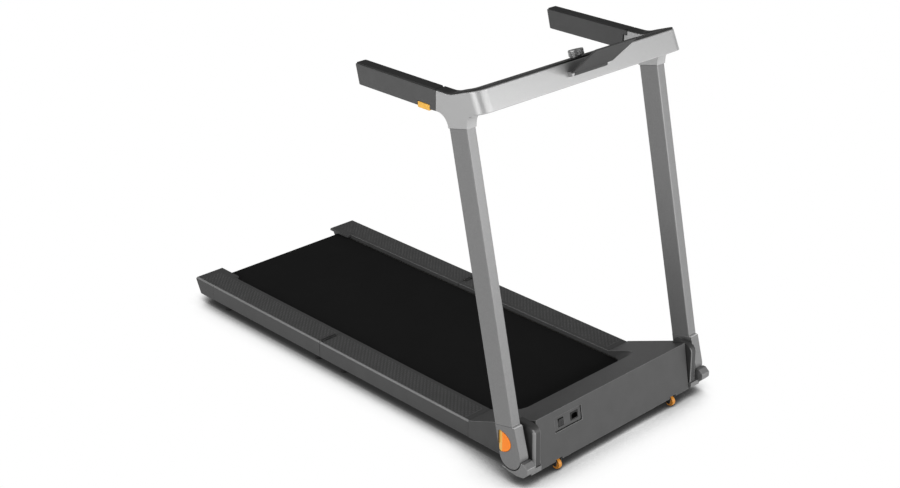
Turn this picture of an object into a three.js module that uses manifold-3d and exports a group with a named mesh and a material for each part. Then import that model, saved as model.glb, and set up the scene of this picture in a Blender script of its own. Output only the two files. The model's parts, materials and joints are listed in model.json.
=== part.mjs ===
// A folding home treadmill. Its deck folds in half over the middle seam, its handle frame folds
// down over the deck, and its two armrests fold in behind the handlebar.
// Millimetres. +X is the runner's right, +Y the way the runner faces, +Z up. The pieces are laid
// out from the rear end of the deck, and the outer group moves the middle of the length to zero.
import * as THREE from 'three';
import { ConvexGeometry } from 'three/addons/geometries/ConvexGeometry.js';
import { mergeVertices } from 'three/addons/utils/BufferGeometryUtils.js';
import Module from 'manifold-3d';

const wasm = await Module();
wasm.setup();

// ---- driving dimensions ----
const LENGTH = 1446;          // rear end to the front of the pivot castings
const GAP = 0.4;              // between pieces that touch
const WALL = 3.5;             // moulded covers

const RAIL_OUTER = 316;       // half width over the side rails
const RAIL_INNER = 232;       // half width between them
const RAIL_TOP = 76.5;
const RAIL_BOTTOM = 28;
const SEAM = 592;             // where the deck folds
const KNEE = 1192;            // where the sides start to rise into the hood

const CAP_INNER = 219;        // lips of the rear end caps
const CAP_LENGTH = 88;

const BELT_HALF = 224;
const BELT_TOP = 66;
const BELT_THICK = 1.8;
const ROLLER_R = 17;
const ROLLER_Z = BELT_TOP - BELT_THICK - ROLLER_R;
const REAR_ROLLER = 41;
const DRIVE_ROLLER = 1290;
const AXLE_R = 6;
const AXLE_HALF = 262;
const PULLEY_R = 22;          // on the drive roller
const MOTOR_PULLEY_R = 10;
const MOTOR = { y: 1346, z: 80, r: 32 };
const BOARD = { top: BELT_TOP - BELT_THICK - GAP, thick: 15, half: 228 };

const TUBE = { inner: 246, outer: 304, bottom: 33, top: 70, wall: 3 };   // long frame members
const CROSS_TOP = BOARD.top - BOARD.thick - GAP;

const HOOD_TOP = { y: 1407, z: 160 };       // front top edge
const HOOD_FOOT = { y: 1430, z: 27 };       // front bottom edge
const LIP = { y: 1242, z: BELT_TOP + 1.2 }; // where the hood starts over the belt
const BROW = 1298;                          // where the steep lip meets the sloping top
const WELL_R = 28;                          // plan corners of the well that the belt runs into
const CORNER = { x: 294, y: 1363 };         // hood corners cut away for the guards

const HINGE = { y: SEAM, z: RAIL_TOP + 0.6, r: 3.4, x0: 257, x1: 311 };

const PIVOT = { y: 1385, z: 76, r: 36 };    // handle frame pivot and the boot's round end
const LEAN = THREE.MathUtils.degToRad(12.54);
const POST = { x0: 332, x1: 362.5, deep: 60.5, foot: { y: 1332.6, z: 147.5 }, length: 752, wall: 2 };

const BAR = {
  outer: 364, wide: 34, deep: 42, seam: 1124, front: 1276, bottom: 913.5, top: 969, corner: 30,
};
const SWEEP = { start: 1156, end: 1206, slope: 0.3537, lean: 0.457 };
const COVER = 3;              // dark strip along the top of the handlebar
const ARM = { tip: 836, tipFoot: 850, pinInset: 7, pinR: 3, slot: [930, 953] };
const KNOB = { r: 19.5, high: 19 };
const REST = { half: 75, reach: 112, thick: 5, barrel: 6, lug: 60, off: 8 };

// ---- geometry helpers ----
const X = new THREE.Vector3(1, 0, 0);
const Y = new THREE.Vector3(0, 1, 0);
const Z = new THREE.Vector3(0, 0, 1);

function shapeOf(points) {
  return new THREE.Shape(points.map(([a, b]) => new THREE.Vector2(a, b)));
}

// A side profile in (y, z), carried across the machine from x0 to x1.
function prismX(profile, x0, x1, curveSegments = 12) {
  const shape = Array.isArray(profile) ? shapeOf(profile) : profile;
  const geometry = new THREE.ExtrudeGeometry(shape, { depth: x1 - x0, bevelEnabled: false, curveSegments });
  geometry.applyMatrix4(new THREE.Matrix4().makeBasis(Y, Z, X));
  return geometry.translate(x0, 0, 0);
}

// A cross-section in (x, z), carried along the machine from y0 to y1.
function prismY(section, y0, y1) {
  const shape = shapeOf(section);
  const geometry = new THREE.ExtrudeGeometry(shape, { depth: y1 - y0, bevelEnabled: false });
  geometry.applyMatrix4(new THREE.Matrix4().makeBasis(X, Z, Y.clone().negate()));
  return geometry.translate(0, y1, 0);
}

function box(x0, x1, y0, y1, z0, z1) {
  const geometry = new THREE.BoxGeometry(x1 - x0, y1 - y0, z1 - z0);
  return geometry.translate((x0 + x1) / 2, (y0 + y1) / 2, (z0 + z1) / 2);
}

function cylinderX(r, x0, x1, y, z, sides = 24) {
  const geometry = new THREE.CylinderGeometry(r, r, x1 - x0, sides);
  return geometry.rotateZ(Math.PI / 2).translate((x0 + x1) / 2, y, z);
}

function cylinderZ(r, x, y, z0, z1, sides = 24) {
  const geometry = new THREE.CylinderGeometry(r, r, z1 - z0, sides);
  return geometry.rotateX(Math.PI / 2).translate(x, y, (z0 + z1) / 2);
}

function solid(geometry) {
  const bare = geometry.clone();
  bare.deleteAttribute('normal');
  bare.deleteAttribute('uv');
  const merged = mergeVertices(bare, 1e-3);
  return new wasm.Manifold(new wasm.Mesh({
    numProp: 3,
    vertProperties: Float32Array.from(merged.attributes.position.array),
    triVerts: Uint32Array.from(merged.index.array),
  }));
}

function geometryOf(manifold) {
  const mesh = manifold.getMesh();
  const geometry = new THREE.BufferGeometry();
  geometry.setAttribute('position', new THREE.BufferAttribute(Float32Array.from(mesh.vertProperties), 3));
  geometry.setIndex(new THREE.BufferAttribute(Uint32Array.from(mesh.triVerts), 1));
  geometry.computeVertexNormals();
  return geometry;
}

// One body: everything in join added together, less everything in cut.
function carve(join, cut = []) {
  let body = solid(join[0]);
  for (const piece of join.slice(1)) body = body.add(solid(piece));
  for (const piece of cut) body = body.subtract(solid(piece));
  return geometryOf(body);
}

// The same piece on the runner's left.
function mirrored(geometry) {
  const copy = geometry.clone().scale(-1, 1, 1);
  if (!copy.index) copy.setIndex([...Array(copy.attributes.position.count).keys()]);
  const index = copy.index.array;
  for (let i = 0; i < index.length; i += 3) [index[i], index[i + 1]] = [index[i + 1], index[i]];
  copy.computeVertexNormals();
  return copy;
}

// Outline around two circles, as a belt runs, each circle given as [y, z, r].
function beltOutline([ya, za, ra], [yb, zb, rb], steps = 10) {
  const along = Math.atan2(zb - za, yb - ya);
  const spread = Math.acos((ra - rb) / Math.hypot(yb - ya, zb - za));
  const arc = (y, z, r, from, to) => Array.from({ length: steps + 1 }, (_, i) => {
    const turn = from + (to - from) * i / steps;
    return [y + r * Math.cos(turn), z + r * Math.sin(turn)];
  });
  return [
    ...arc(yb, zb, rb, along - spread, along + spread),
    ...arc(ya, za, ra, along + spread, along - spread + 2 * Math.PI),
  ];
}

// ---- finishes ----
const finishes = {
  black_plastic: [0x2b2b2b, 0.6, 0],
  grey_plastic: [0x4a4a4a, 0.55, 0],
  black_rubber: [0x1c1c1c, 0.8, 0],
  black_steel: [0x202020, 0.5, 0.3],
  silver: [0xa6a6a6, 0.35, 0.8],
  steel: [0xb4b4b4, 0.3, 1],
  orange: [0xff8c1a, 0.4, 0],
  board: [0x3a3026, 0.7, 0],
};

const treadmill = new THREE.Group();
treadmill.position.y = -LENGTH / 2;

function add(name, geometry, finish, parent = treadmill) {
  const [color, roughness, metalness] = finishes[finish];
  const mesh = new THREE.Mesh(geometry, new THREE.MeshStandardMaterial({ color, roughness, metalness }));
  mesh.name = name;
  parent.add(mesh);
  return mesh;
}

function addPair(name, geometry, finish) {
  add(`${name}_right`, geometry, finish);
  add(`${name}_left`, mirrored(geometry), finish);
}

// ---- deck frames: two long tubes joined by cross channels that are open below ----
function longMember(y0, y1, inset = 0) {
  const { inner, outer, bottom, top } = TUBE;
  return box(inner + inset, outer - inset, y0 - inset, y1 + inset, bottom + inset, top - inset);
}

function ladder(y0, y1, crossings, more, holes) {
  const member = longMember(y0, y1);
  const hollow = longMember(y0, y1, TUBE.wall);
  const channel = ([a, b, top]) => box(-TUBE.inner - 2, TUBE.inner + 2, a, b, TUBE.bottom + 1, top);
  const trough = ([a, b, top]) => (
    box(-TUBE.inner, TUBE.inner, a + TUBE.wall, b - TUBE.wall, TUBE.bottom - 5, top - TUBE.wall));
  return carve(
    [member, mirrored(member), ...crossings.map(channel), ...more],
    [hollow, mirrored(hollow), ...crossings.map(trough), ...holes]);
}

function axleHole(y) {
  return cylinderX(AXLE_R + 0.8, -AXLE_HALF - 2, AXLE_HALF + 2, y, ROLLER_Z);
}

const BRACKET = { x0: 303, x1: 322, r: 20 };
const PIN = { r: 7, x0: 305, x1: 343 };

function frontFrame() {
  const front = CORNER.y + 27;
  const bracket = cylinderX(BRACKET.r, BRACKET.x0, BRACKET.x1, PIVOT.y, PIVOT.z);
  const web = box(TUBE.outer - 1, BRACKET.x1, front - 18, front, 46, PIVOT.z);
  const pinHole = cylinderX(PIN.r + 0.7, PIN.x0 - 0.6, BRACKET.x1 + 2, PIVOT.y, PIVOT.z);
  const crossings = [
    [640, 680, CROSS_TOP], [900, 940, CROSS_TOP], [1180, 1220, CROSS_TOP], [front - 14, front, 46],
  ];
  return ladder(SEAM + 2, front, crossings,
    [bracket, web, mirrored(bracket), mirrored(web)],
    [axleHole(DRIVE_ROLLER), pinHole, mirrored(pinHole)]);
}

function rearFrame() {
  const crossings = [[100, 140, CROSS_TOP], [330, 370, CROSS_TOP], [520, 560, CROSS_TOP]];
  return ladder(24, SEAM - 2, crossings, [], [axleHole(REAR_ROLLER)]);
}

add('front_frame', frontFrame(), 'black_steel');
add('rear_frame', rearFrame(), 'black_steel');

// ---- side rails: covers with an outer wall, a tread and an inner lip ----
const RAIL_SECTION = [
  [RAIL_OUTER, RAIL_BOTTOM],
  [RAIL_OUTER, RAIL_TOP - 2],
  [RAIL_OUTER - 2, RAIL_TOP],
  [RAIL_INNER, RAIL_TOP],
  [RAIL_INNER, 60],
  [RAIL_INNER + 3, 60],
  [RAIL_INNER + 3, RAIL_TOP - 3],
  [RAIL_OUTER - 3, RAIL_TOP - 3],
  [RAIL_OUTER - 3, RAIL_BOTTOM],
];

const hingeNotch = box(HINGE.x0 - 1, HINGE.x1 + 1, SEAM - 6.2, SEAM + 6.2, 60, 90);
const rail = (y0, y1) => carve([prismY(RAIL_SECTION, y0, y1)], [hingeNotch]);
addPair('front_rail', rail(SEAM + 0.6, KNEE - GAP), 'grey_plastic');
addPair('rear_rail', rail(CAP_LENGTH + GAP, SEAM - 0.6), 'grey_plastic');

function rearEndCap() {
  const side = [[6, 27], [0, 35], [0, 68], [8, RAIL_TOP], [CAP_LENGTH, RAIL_TOP], [CAP_LENGTH, 27]];
  const lip = [[0, 68], [8, RAIL_TOP], [CAP_LENGTH, RAIL_TOP], [CAP_LENGTH, 68]];
  const body = prismX(side, RAIL_INNER - 2, RAIL_OUTER);
  const overhang = prismX(lip, CAP_INNER, RAIL_INNER);
  const hollow = box(RAIL_INNER + 4, RAIL_OUTER - WALL, 12, CAP_LENGTH + 5, 10, RAIL_TOP - 4);
  const axleSlot = box(RAIL_INNER - 6, RAIL_INNER + 6, REAR_ROLLER - 8, REAR_ROLLER + 8, 10, ROLLER_Z + 9);
  return carve([body, overhang], [hollow, axleSlot]);
}
addPair('rear_end_cap', rearEndCap(), 'grey_plastic');

// ---- fold hinges, set in the rail tops at the seam ----
const KNUCKLE = (HINGE.x1 - HINGE.x0) / 3;

function hingeLeaf(side, ranges) {
  const [near, far] = sorted(SEAM + side * 6, SEAM + side * 48);
  const plate = box(HINGE.x0 + 2, HINGE.x1 - 4, near, far, TUBE.top + GAP, 73);
  const arm = [
    [SEAM + side * 7.5, TUBE.top + GAP],
    [SEAM + side * 7.5, 71.5],
    [SEAM + side * 3.1, HINGE.z],
    [SEAM + side * 1.2, HINGE.z - 3],
    [SEAM + side * 4, TUBE.top + GAP],
  ];
  if (side < 0) arm.reverse();
  const join = [plate];
  for (const [x0, x1] of ranges) {
    join.push(prismX(arm, x0, x1), cylinderX(HINGE.r, x0, x1, HINGE.y, HINGE.z));
  }
  return carve(join, [cylinderX(2, HINGE.x0 - 5, HINGE.x1 + 5, HINGE.y, HINGE.z)]);
}

function sorted(a, b) {
  return a < b ? [a, b] : [b, a];
}

const outerKnuckles = [
  [HINGE.x0 + 0.2, HINGE.x0 + KNUCKLE - 0.3],
  [HINGE.x1 - KNUCKLE + 0.3, HINGE.x1 - 0.2],
];
const middleKnuckle = [[HINGE.x0 + KNUCKLE + 0.3, HINGE.x1 - KNUCKLE - 0.3]];
addPair('hinge_leaf_front', hingeLeaf(1, outerKnuckles), 'steel');
addPair('hinge_leaf_rear', hingeLeaf(-1, middleKnuckle), 'steel');
addPair('deck_hinge_pin', cylinderX(1.5, HINGE.x0 + 0.2, HINGE.x1 - 0.2, HINGE.y, HINGE.z, 16), 'steel');

// ---- running boards, belt and rollers ----
const board = (y0, y1) => box(-BOARD.half, BOARD.half, y0, y1, BOARD.top - BOARD.thick, BOARD.top);
add('front_deck_board', board(SEAM + 2, DRIVE_ROLLER - 26), 'board');
add('rear_deck_board', board(REAR_ROLLER + 26, SEAM - 2), 'board');

// Half of the belt loop: round one roller, with both runs cut off at the seam.
function beltHalf(rollerY, seamY) {
  const away = Math.sign(rollerY - seamY);
  const inner = ROLLER_R + GAP;
  const outer = ROLLER_R + BELT_THICK;
  const arc = (r, from, to) => Array.from({ length: 17 }, (_, i) => {
    const turn = from + (to - from) * i / 16;
    return [rollerY + away * r * Math.cos(turn), ROLLER_Z + r * Math.sin(turn)];
  });
  const outline = [
    [seamY, ROLLER_Z + outer],
    ...arc(outer, Math.PI / 2, -Math.PI / 2),
    [seamY, ROLLER_Z - outer],
    [seamY, ROLLER_Z - inner],
    ...arc(inner, -Math.PI / 2, Math.PI / 2),
    [seamY, ROLLER_Z + inner],
  ];
  return prismX(away > 0 ? outline.reverse() : outline, -BELT_HALF, BELT_HALF);
}
add('running_belt_front', beltHalf(DRIVE_ROLLER, SEAM + 0.6), 'black_rubber');
add('running_belt_rear', beltHalf(REAR_ROLLER, SEAM - 0.6), 'black_rubber');

const PULLEY_X = [-243, -229];

function roller(y) {
  return [cylinderX(ROLLER_R, -BELT_HALF - 1, BELT_HALF + 1, y, ROLLER_Z, 32),
    cylinderX(AXLE_R, -AXLE_HALF, AXLE_HALF, y, ROLLER_Z)];
}
add('rear_roller', carve(roller(REAR_ROLLER)), 'steel');
const drivePulley = cylinderX(PULLEY_R, ...PULLEY_X, DRIVE_ROLLER, ROLLER_Z, 32);
add('drive_roller', carve([...roller(DRIVE_ROLLER), drivePulley]), 'steel');

// ---- drive: motor, its pulley, the drive belt and the controller ----
const MOTOR_X = [-110, 50];

function motor() {
  const can = cylinderX(MOTOR.r, ...MOTOR_X, MOTOR.y, MOTOR.z, 32);
  const base = box(MOTOR_X[0] + 20, MOTOR_X[1] - 20, MOTOR.y - 18, MOTOR.y + 18, 26 + GAP, MOTOR.z - 15);
  const bore = cylinderX(6, MOTOR_X[0] - 5, MOTOR_X[0] + 30, MOTOR.y, MOTOR.z);
  return carve([can, base], [bore]);
}
add('drive_motor', motor(), 'black_steel');
add('motor_pulley', carve([
  cylinderX(MOTOR_PULLEY_R, ...PULLEY_X, MOTOR.y, MOTOR.z),
  cylinderX(5, PULLEY_X[1] - 1, MOTOR_X[0] + 28, MOTOR.y, MOTOR.z),
]), 'steel');

function driveBelt() {
  const loop = (grow) => beltOutline(
    [DRIVE_ROLLER, ROLLER_Z, PULLEY_R + grow],
    [MOTOR.y, MOTOR.z, MOTOR_PULLEY_R + grow], 16);
  const x0 = PULLEY_X[0] + 2;
  const x1 = PULLEY_X[1] - 2;
  return carve([prismX(loop(2.6), x0, x1)], [prismX(loop(0.6), x0 - 2, x1 + 2)]);
}
add('drive_belt', driveBelt(), 'black_rubber');

function controller() {
  const fins = [0, 1, 2, 3, 4, 5].map((i) => box(84 + 20 * i, 96 + 20 * i, 1318, 1366, 78, 96));
  return carve([box(80, 200, 1316, 1368, 26 + GAP, 80), ...fins]);
}
add('motor_controller', controller(), 'silver');

// ---- belly pans ----
const PAN_SECTION = [
  [-262, 30.2], [-234, 30.2], [-234, 23.5], [234, 23.5], [234, 30.2], [262, 30.2],
  [262, TUBE.bottom - GAP], [231, TUBE.bottom - GAP], [231, 26], [-231, 26],
  [-231, TUBE.bottom - GAP], [-262, TUBE.bottom - GAP],
];
const pulleyNotch = box(-300, -225, DRIVE_ROLLER - 30, CORNER.y + 20, 15, 40);
const frontPan = carve([prismY(PAN_SECTION, SEAM + 3, CORNER.y + 4)], [pulleyNotch]);
add('front_belly_pan', frontPan, 'black_plastic');
add('rear_belly_pan', prismY(PAN_SECTION, CAP_LENGTH + 2, SEAM - 3), 'black_plastic');

// ---- feet: tapered rubber blocks under the frame members ----
function foot(y) {
  const profile = [[0, 0], [11, 0], [13, 3], [15, TUBE.bottom - GAP], [0, TUBE.bottom - GAP]];
  const geometry = new THREE.LatheGeometry(profile.map(([r, h]) => new THREE.Vector2(r, h)), 20);
  return geometry.rotateX(Math.PI / 2).translate(287, y, 0);
}
addPair('rear_foot', foot(125), 'black_rubber');
addPair('middle_foot_rear', foot(552), 'black_rubber');
addPair('middle_foot_front', foot(664), 'black_rubber');

// ---- transport wheels under the hood's front edge ----
const WHEEL = { x: 227, y: 1421, r: 14, half: 5.5 };

function wheelFork() {
  const cheek = [[WHEEL.y - 20, 28.6], [WHEEL.y - 5, 9], [WHEEL.y + 5, 9], [WHEEL.y + 8, 28.6]];
  return carve([
    prismX(cheek, WHEEL.x - 10, WHEEL.x - 7),
    prismX(cheek, WHEEL.x + 7, WHEEL.x + 10),
    box(WHEEL.x - 10, WHEEL.x + 10, 1378, WHEEL.y + 3, 28.4, 31),
    box(WHEEL.x - 10, WHEEL.x + 10, 1378, 1389, 30, 33.6),
    cylinderX(3, WHEEL.x - 9, WHEEL.x + 9, WHEEL.y, WHEEL.r, 16),
  ]);
}
const wheel = carve(
  [cylinderX(WHEEL.r, WHEEL.x - WHEEL.half, WHEEL.x + WHEEL.half, WHEEL.y, WHEEL.r, 32)],
  [cylinderX(3.7, WHEEL.x - 20, WHEEL.x + 20, WHEEL.y, WHEEL.r, 16)]);
addPair('wheel_fork', wheelFork(), 'black_steel');
addPair('transport_wheel', wheel, 'orange');

// ---- hood: one moulding over the motor, with the rising ends of both sides ----
const slopeAt = (y) => RAIL_TOP + (y - KNEE) * (HOOD_TOP.z - RAIL_TOP) / (HOOD_TOP.y - KNEE);
const FACE_TILT = Math.atan2(HOOD_FOOT.y - HOOD_TOP.y, HOOD_TOP.z - HOOD_FOOT.z);
const faceAt = (z) => HOOD_TOP.y + (HOOD_TOP.z - z) * Math.tan(FACE_TILT);
const SOCKET = { x0: 130, x1: 230, z0: 101, z1: 141 };   // recess for the inlet and the switch

// The well over the belt is a stack of plan outlines that step forward as the lip rises. Each
// slice is the space between two of them.
function wellSlice(frontLow, low, frontHigh, high) {
  const outline = (front, z) => {
    const right = [new THREE.Vector3(RAIL_INNER, KNEE - 10, z)];
    for (let i = 0; i <= 8; i += 1) {
      const turn = Math.PI / 2 * i / 8;
      right.push(new THREE.Vector3(
        RAIL_INNER - WELL_R + WELL_R * Math.cos(turn), front - WELL_R + WELL_R * Math.sin(turn), z));
    }
    return [...right, ...right.map(({ x, y }) => new THREE.Vector3(-x, y, z))];
  };
  return new ConvexGeometry([...outline(frontLow, low), ...outline(frontHigh, high)]);
}

function hood() {
  const outside = prismX([
    [KNEE, RAIL_BOTTOM], [HOOD_FOOT.y, HOOD_FOOT.z], [HOOD_TOP.y, HOOD_TOP.z], [KNEE, RAIL_TOP],
  ], -RAIL_OUTER, RAIL_OUTER);
  const well = [
    wellSlice(LIP.y, 0, LIP.y, LIP.z),
    wellSlice(LIP.y, LIP.z, BROW, slopeAt(BROW)),
    wellSlice(BROW, slopeAt(BROW), BROW, 200),
  ];
  const roofAt = (y) => [y, slopeAt(y) - WALL];
  const browRoof = slopeAt(BROW) - WALL;
  const underLip = prismX([
    [KNEE - 10, 0], [DRIVE_ROLLER + 30, 0], [DRIVE_ROLLER + 30, browRoof], [BROW + 2, browRoof],
    [LIP.y + 6, LIP.z], [KNEE - 10, LIP.z],
  ], -RAIL_INNER + WALL, RAIL_INNER - WALL);
  const inSide = prismX(
    [[KNEE + WALL, 0], [BROW + 5, 0], roofAt(BROW + 5), roofAt(KNEE + WALL)],
    RAIL_INNER + WALL, RAIL_OUTER - WALL);
  const inFront = prismX(
    [[BROW, 0], [faceAt(0) - WALL, 0], roofAt(faceAt(155) - WALL), roofAt(BROW)],
    -RAIL_OUTER + WALL, RAIL_OUTER - WALL);
  const beltSide = box(RAIL_INNER - 5, TUBE.inner, KNEE - 5, DRIVE_ROLLER + 40, 0, ROLLER_Z + AXLE_R + 2);
  const pulleyDoor = box(-RAIL_INNER - 12, 5 - RAIL_INNER, DRIVE_ROLLER - 26, DRIVE_ROLLER + 60, 0, 80);
  const kneeDoor = box(TUBE.inner - 2, TUBE.outer + 2, KNEE - 5, KNEE + 10, 0, TUBE.top + 1.5);
  const corner = box(CORNER.x, RAIL_OUTER + 10, CORNER.y, 1500, 0, 200);
  const wheelNotch = box(WHEEL.x - 13, WHEEL.x + 13, 1395, 1500, 0, 32);
  const socket = box(SOCKET.x0, SOCKET.x1, 1400, 1500, SOCKET.z0, SOCKET.z1);
  const sides = [inSide, beltSide, kneeDoor, corner, wheelNotch];
  return carve([outside], [...well, underLip, inFront, ...sides, ...sides.map(mirrored), pulleyDoor, socket]);
}
add('hood_cover', hood(), 'grey_plastic');

// The inlet plate stands 3 mm back in the recess, square to the hood's sloping front.
const SOCKET_MID = (SOCKET.z0 + SOCKET.z1) / 2;
const face = new THREE.Group();
face.position.set(0, faceAt(SOCKET_MID) - 3, SOCKET_MID);
face.rotation.x = FACE_TILT;
treadmill.add(face);

const INLET = { x0: 141, x1: 169, half: 10.5 };
const ROCKER = { x0: 196, x1: 214, half: 10, tip: 3 };
add('inlet_panel', carve(
  [box(SOCKET.x0 + 1, SOCKET.x1 - 1, -2.5, 0, -18.5, 18.5)],
  [box(INLET.x0 - GAP, INLET.x1 + GAP, -9, 9, -INLET.half - GAP, INLET.half + GAP),
    box(ROCKER.x0 - 1, ROCKER.x1 + 1, -9, 9, -ROCKER.half - 1.5, ROCKER.half + 1.5)]),
'grey_plastic', face);

const inletMouth = [[INLET.x0 + 3, -7], [INLET.x1 - 3, -7], [INLET.x1 - 3, 3], [INLET.x1 - 7, 7],
  [INLET.x0 + 7, 7], [INLET.x0 + 3, 3]];
add('power_inlet', carve(
  [box(INLET.x0, INLET.x1, -18, 0.8, -INLET.half, INLET.half)],
  [prismY(inletMouth, -14, 5)]),
'black_plastic', face);
add('power_switch', prismX([
  [-2, -ROCKER.half], [0.6, -ROCKER.half], [-0.6, 0], [ROCKER.tip, ROCKER.half], [-2, ROCKER.half], [-8, 0],
], ROCKER.x0, ROCKER.x1), 'black_plastic', face);

// ---- front corner guards, pivot castings and pins ----
function cornerGuard() {
  const side = [[CORNER.y + 2, 46], [1431, 46], [1429, 140], [1416, 155], [CORNER.y + 2, 155]];
  const hollow = [[CORNER.y - 5, 30], [1427, 30], [1425, 138], [1413, 150], [CORNER.y - 5, 150]];
  return carve([prismX(side, CORNER.x + 4, 327)], [prismX(hollow, CORNER.x - 5, 323.5),
    cylinderX(PIN.r + 3, 300, 330, PIVOT.y, PIVOT.z)]);
}
addPair('corner_guard', cornerGuard(), 'grey_plastic');

// The casting cups the round end of the boot from below and from the front. Its rear lip stays low,
// because the flat side of the release button swings past it when the handle frame folds.
function pivotCasting() {
  const cup = [
    [1359, 40], [1362, 36], [1385, 31], [1410, 29.5], [1432, 33],
    [LENGTH, 48], [LENGTH, 62], [1433, 73], [1420, 73], [1370, 39.5],
  ];
  const room = cylinderX(PIVOT.r + 2.5, 320, 370, PIVOT.y, PIVOT.z, 48);
  const sole = box(CORNER.x + 4, 332, CORNER.y + 4, 1434, 30, TUBE.bottom - GAP);
  const toe = box(CORNER.x + 4, 332, CORNER.y + 29, 1434, 30, 44);
  return carve([prismX(cup, 331, POST.x1), sole, toe], [room]);
}
addPair('pivot_casting', pivotCasting(), 'silver');
addPair('pivot_pin', cylinderX(PIN.r, PIN.x0, PIN.x1, PIVOT.y, PIVOT.z), 'steel');

// ---- handle frame: boots, posts and the swept handlebar ----
const up = [-Math.sin(LEAN), Math.cos(LEAN)];
const across = [Math.cos(LEAN), Math.sin(LEAN)];
const post = (a, h) => [
  POST.foot.y + across[0] * a + up[0] * h,
  POST.foot.z + across[1] * a + up[1] * h,
];

// Where a line from the point (y, z) touches the boot's round end, on the given side.
function touch([y, z], side) {
  const far = Math.hypot(y - PIVOT.y, z - PIVOT.z);
  return Math.atan2(z - PIVOT.z, y - PIVOT.y) + side * Math.acos(PIVOT.r / far);
}

const BUTTON = { y: 1364, z: 108, half: 29, x0: 350, x1: 364.3, travel: 4 };

// A D with its flat side to the rear, leaning with the boot.
function buttonShape(grow) {
  const points = [];
  const r = BUTTON.half + grow;
  for (let i = 0; i <= 16; i += 1) {
    const turn = -Math.PI / 2 + Math.PI * i / 16;
    points.push([BUTTON.y - 15 + 1.35 * r * Math.cos(turn), BUTTON.z + r * Math.sin(turn)]);
  }
  points.push([BUTTON.y - 19 - grow, BUTTON.z + r - 4], [BUTTON.y - 19 - grow, BUTTON.z - r + 4]);
  return points;
}

function boot() {
  const rear = post(0, 0);
  const front = post(POST.deep, 0);
  const from = touch(rear, 1);
  const to = touch(front, -1) + 2 * Math.PI;
  const outline = [front, rear];
  for (let i = 0; i <= 20; i += 1) {
    const turn = from + (to - from) * i / 20;
    outline.push([PIVOT.y + PIVOT.r * Math.cos(turn), PIVOT.z + PIVOT.r * Math.sin(turn)]);
  }
  return carve([prismX(outline, POST.x0, POST.x1)], [
    cylinderX(PIN.r + 0.7, POST.x0 - 5, PIN.x1 + 0.5, PIVOT.y, PIVOT.z),
    prismX(buttonShape(0.6), BUTTON.x0 - BUTTON.travel - 0.8, POST.x1 + 5),
  ]);
}
addPair('boot', boot(), 'silver');
addPair('boot_release', prismX(buttonShape(0), BUTTON.x0, BUTTON.x1), 'orange');

function upright() {
  const t = POST.wall;
  const column = (a0, a1, h0, h1) => [post(a0, h0), post(a1, h0), post(a1, h1), post(a0, h1)];
  const outer = prismX(column(0, POST.deep, GAP, POST.length), POST.x0, POST.x1);
  const inner = prismX(column(t, POST.deep - t, -5, POST.length + 5), POST.x0 + t, POST.x1 - t);
  return carve([outer], [inner]);
}
addPair('upright', upright(), 'silver');

// Height that the handlebar has gained at y: level at the armrests, then an even slope.
function rise(y) {
  const run = SWEEP.end - SWEEP.start;
  const u = THREE.MathUtils.clamp((y - SWEEP.start) / run, 0, 1);
  return SWEEP.slope * (run * u * u / 2 + Math.max(0, y - SWEEP.end));
}

// Bend a level piece into the sweep: it rises towards the front, where its front face leans back.
function swept(geometry) {
  const middle = (BAR.bottom + BAR.top) / 2;
  const place = geometry.attributes.position;
  for (let i = 0; i < place.count; i += 1) {
    const y = place.getY(i);
    const z = place.getZ(i);
    const u = THREE.MathUtils.clamp((y - SWEEP.start) / (SWEEP.end - SWEEP.start), 0, 1);
    place.setXYZ(i, place.getX(i), y - SWEEP.lean * u * (z - middle), z + rise(y));
  }
  return geometry;
}

// The U-shaped bar between two heights, drawn in from its edge by inset. It is a run of stations
// along the U, each with its own four corners, so that the bar can bend between them.
function barSlab(inset, z0, z1) {
  const edge = (x, front, r) => {
    const start = BAR.seam + GAP;
    const leg = Array.from({ length: 10 }, (_, i) => [x, start + (front - r - start) * i / 10]);
    const turn = (i) => Math.PI / 2 * i / 6;
    const bend = Array.from({ length: 7 }, (_, i) => [
      x - r + r * Math.cos(turn(i)), front - r + r * Math.sin(turn(i)),
    ]);
    const right = [...leg, ...bend];
    return [...right, ...right.map(([px, py]) => [-px, py]).reverse()];
  };
  const outside = edge(BAR.outer - inset, BAR.front - inset, BAR.corner - inset);
  const inside = edge(BAR.outer - BAR.wide + inset, BAR.front - BAR.deep + inset, 12);
  const corners = outside.flatMap(([x, y], i) => [
    x, y, z0, x, y, z1, inside[i][0], inside[i][1], z1, inside[i][0], inside[i][1], z0,
  ]);
  const last = 4 * (outside.length - 1);
  const index = [0, 1, 2, 0, 2, 3, last, last + 2, last + 1, last, last + 3, last + 2];
  for (let i = 0; i < last; i += 4) {
    for (let k = 0; k < 4; k += 1) {
      const next = (k + 1) % 4;
      index.push(i + k, i + 4 + k, i + 4 + next, i + k, i + 4 + next, i + next);
    }
  }
  const geometry = new THREE.BufferGeometry();
  geometry.setAttribute('position', new THREE.Float32BufferAttribute(corners, 3));
  geometry.setIndex(index);
  geometry.computeVertexNormals();
  return swept(geometry);
}

const ARM_PIN = { x: BAR.outer - BAR.wide + ARM.pinInset, y: BAR.seam - ARM.pinInset - GAP };

// The lug and the pin that carry an armrest stand out of the end of each leg.
function armLug() {
  const [z0, z1] = ARM.slot;
  return [
    box(ARM_PIN.x - 6, ARM_PIN.x + 6, ARM_PIN.y, BAR.seam + 6, z0 + 0.5, z1 - 0.5),
    cylinderZ(6, ARM_PIN.x, ARM_PIN.y, z0 + 0.5, z1 - 0.5),
    cylinderZ(ARM.pinR, ARM_PIN.x, ARM_PIN.y, z0 - 11, z1 + 11, 16),
  ];
}

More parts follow.
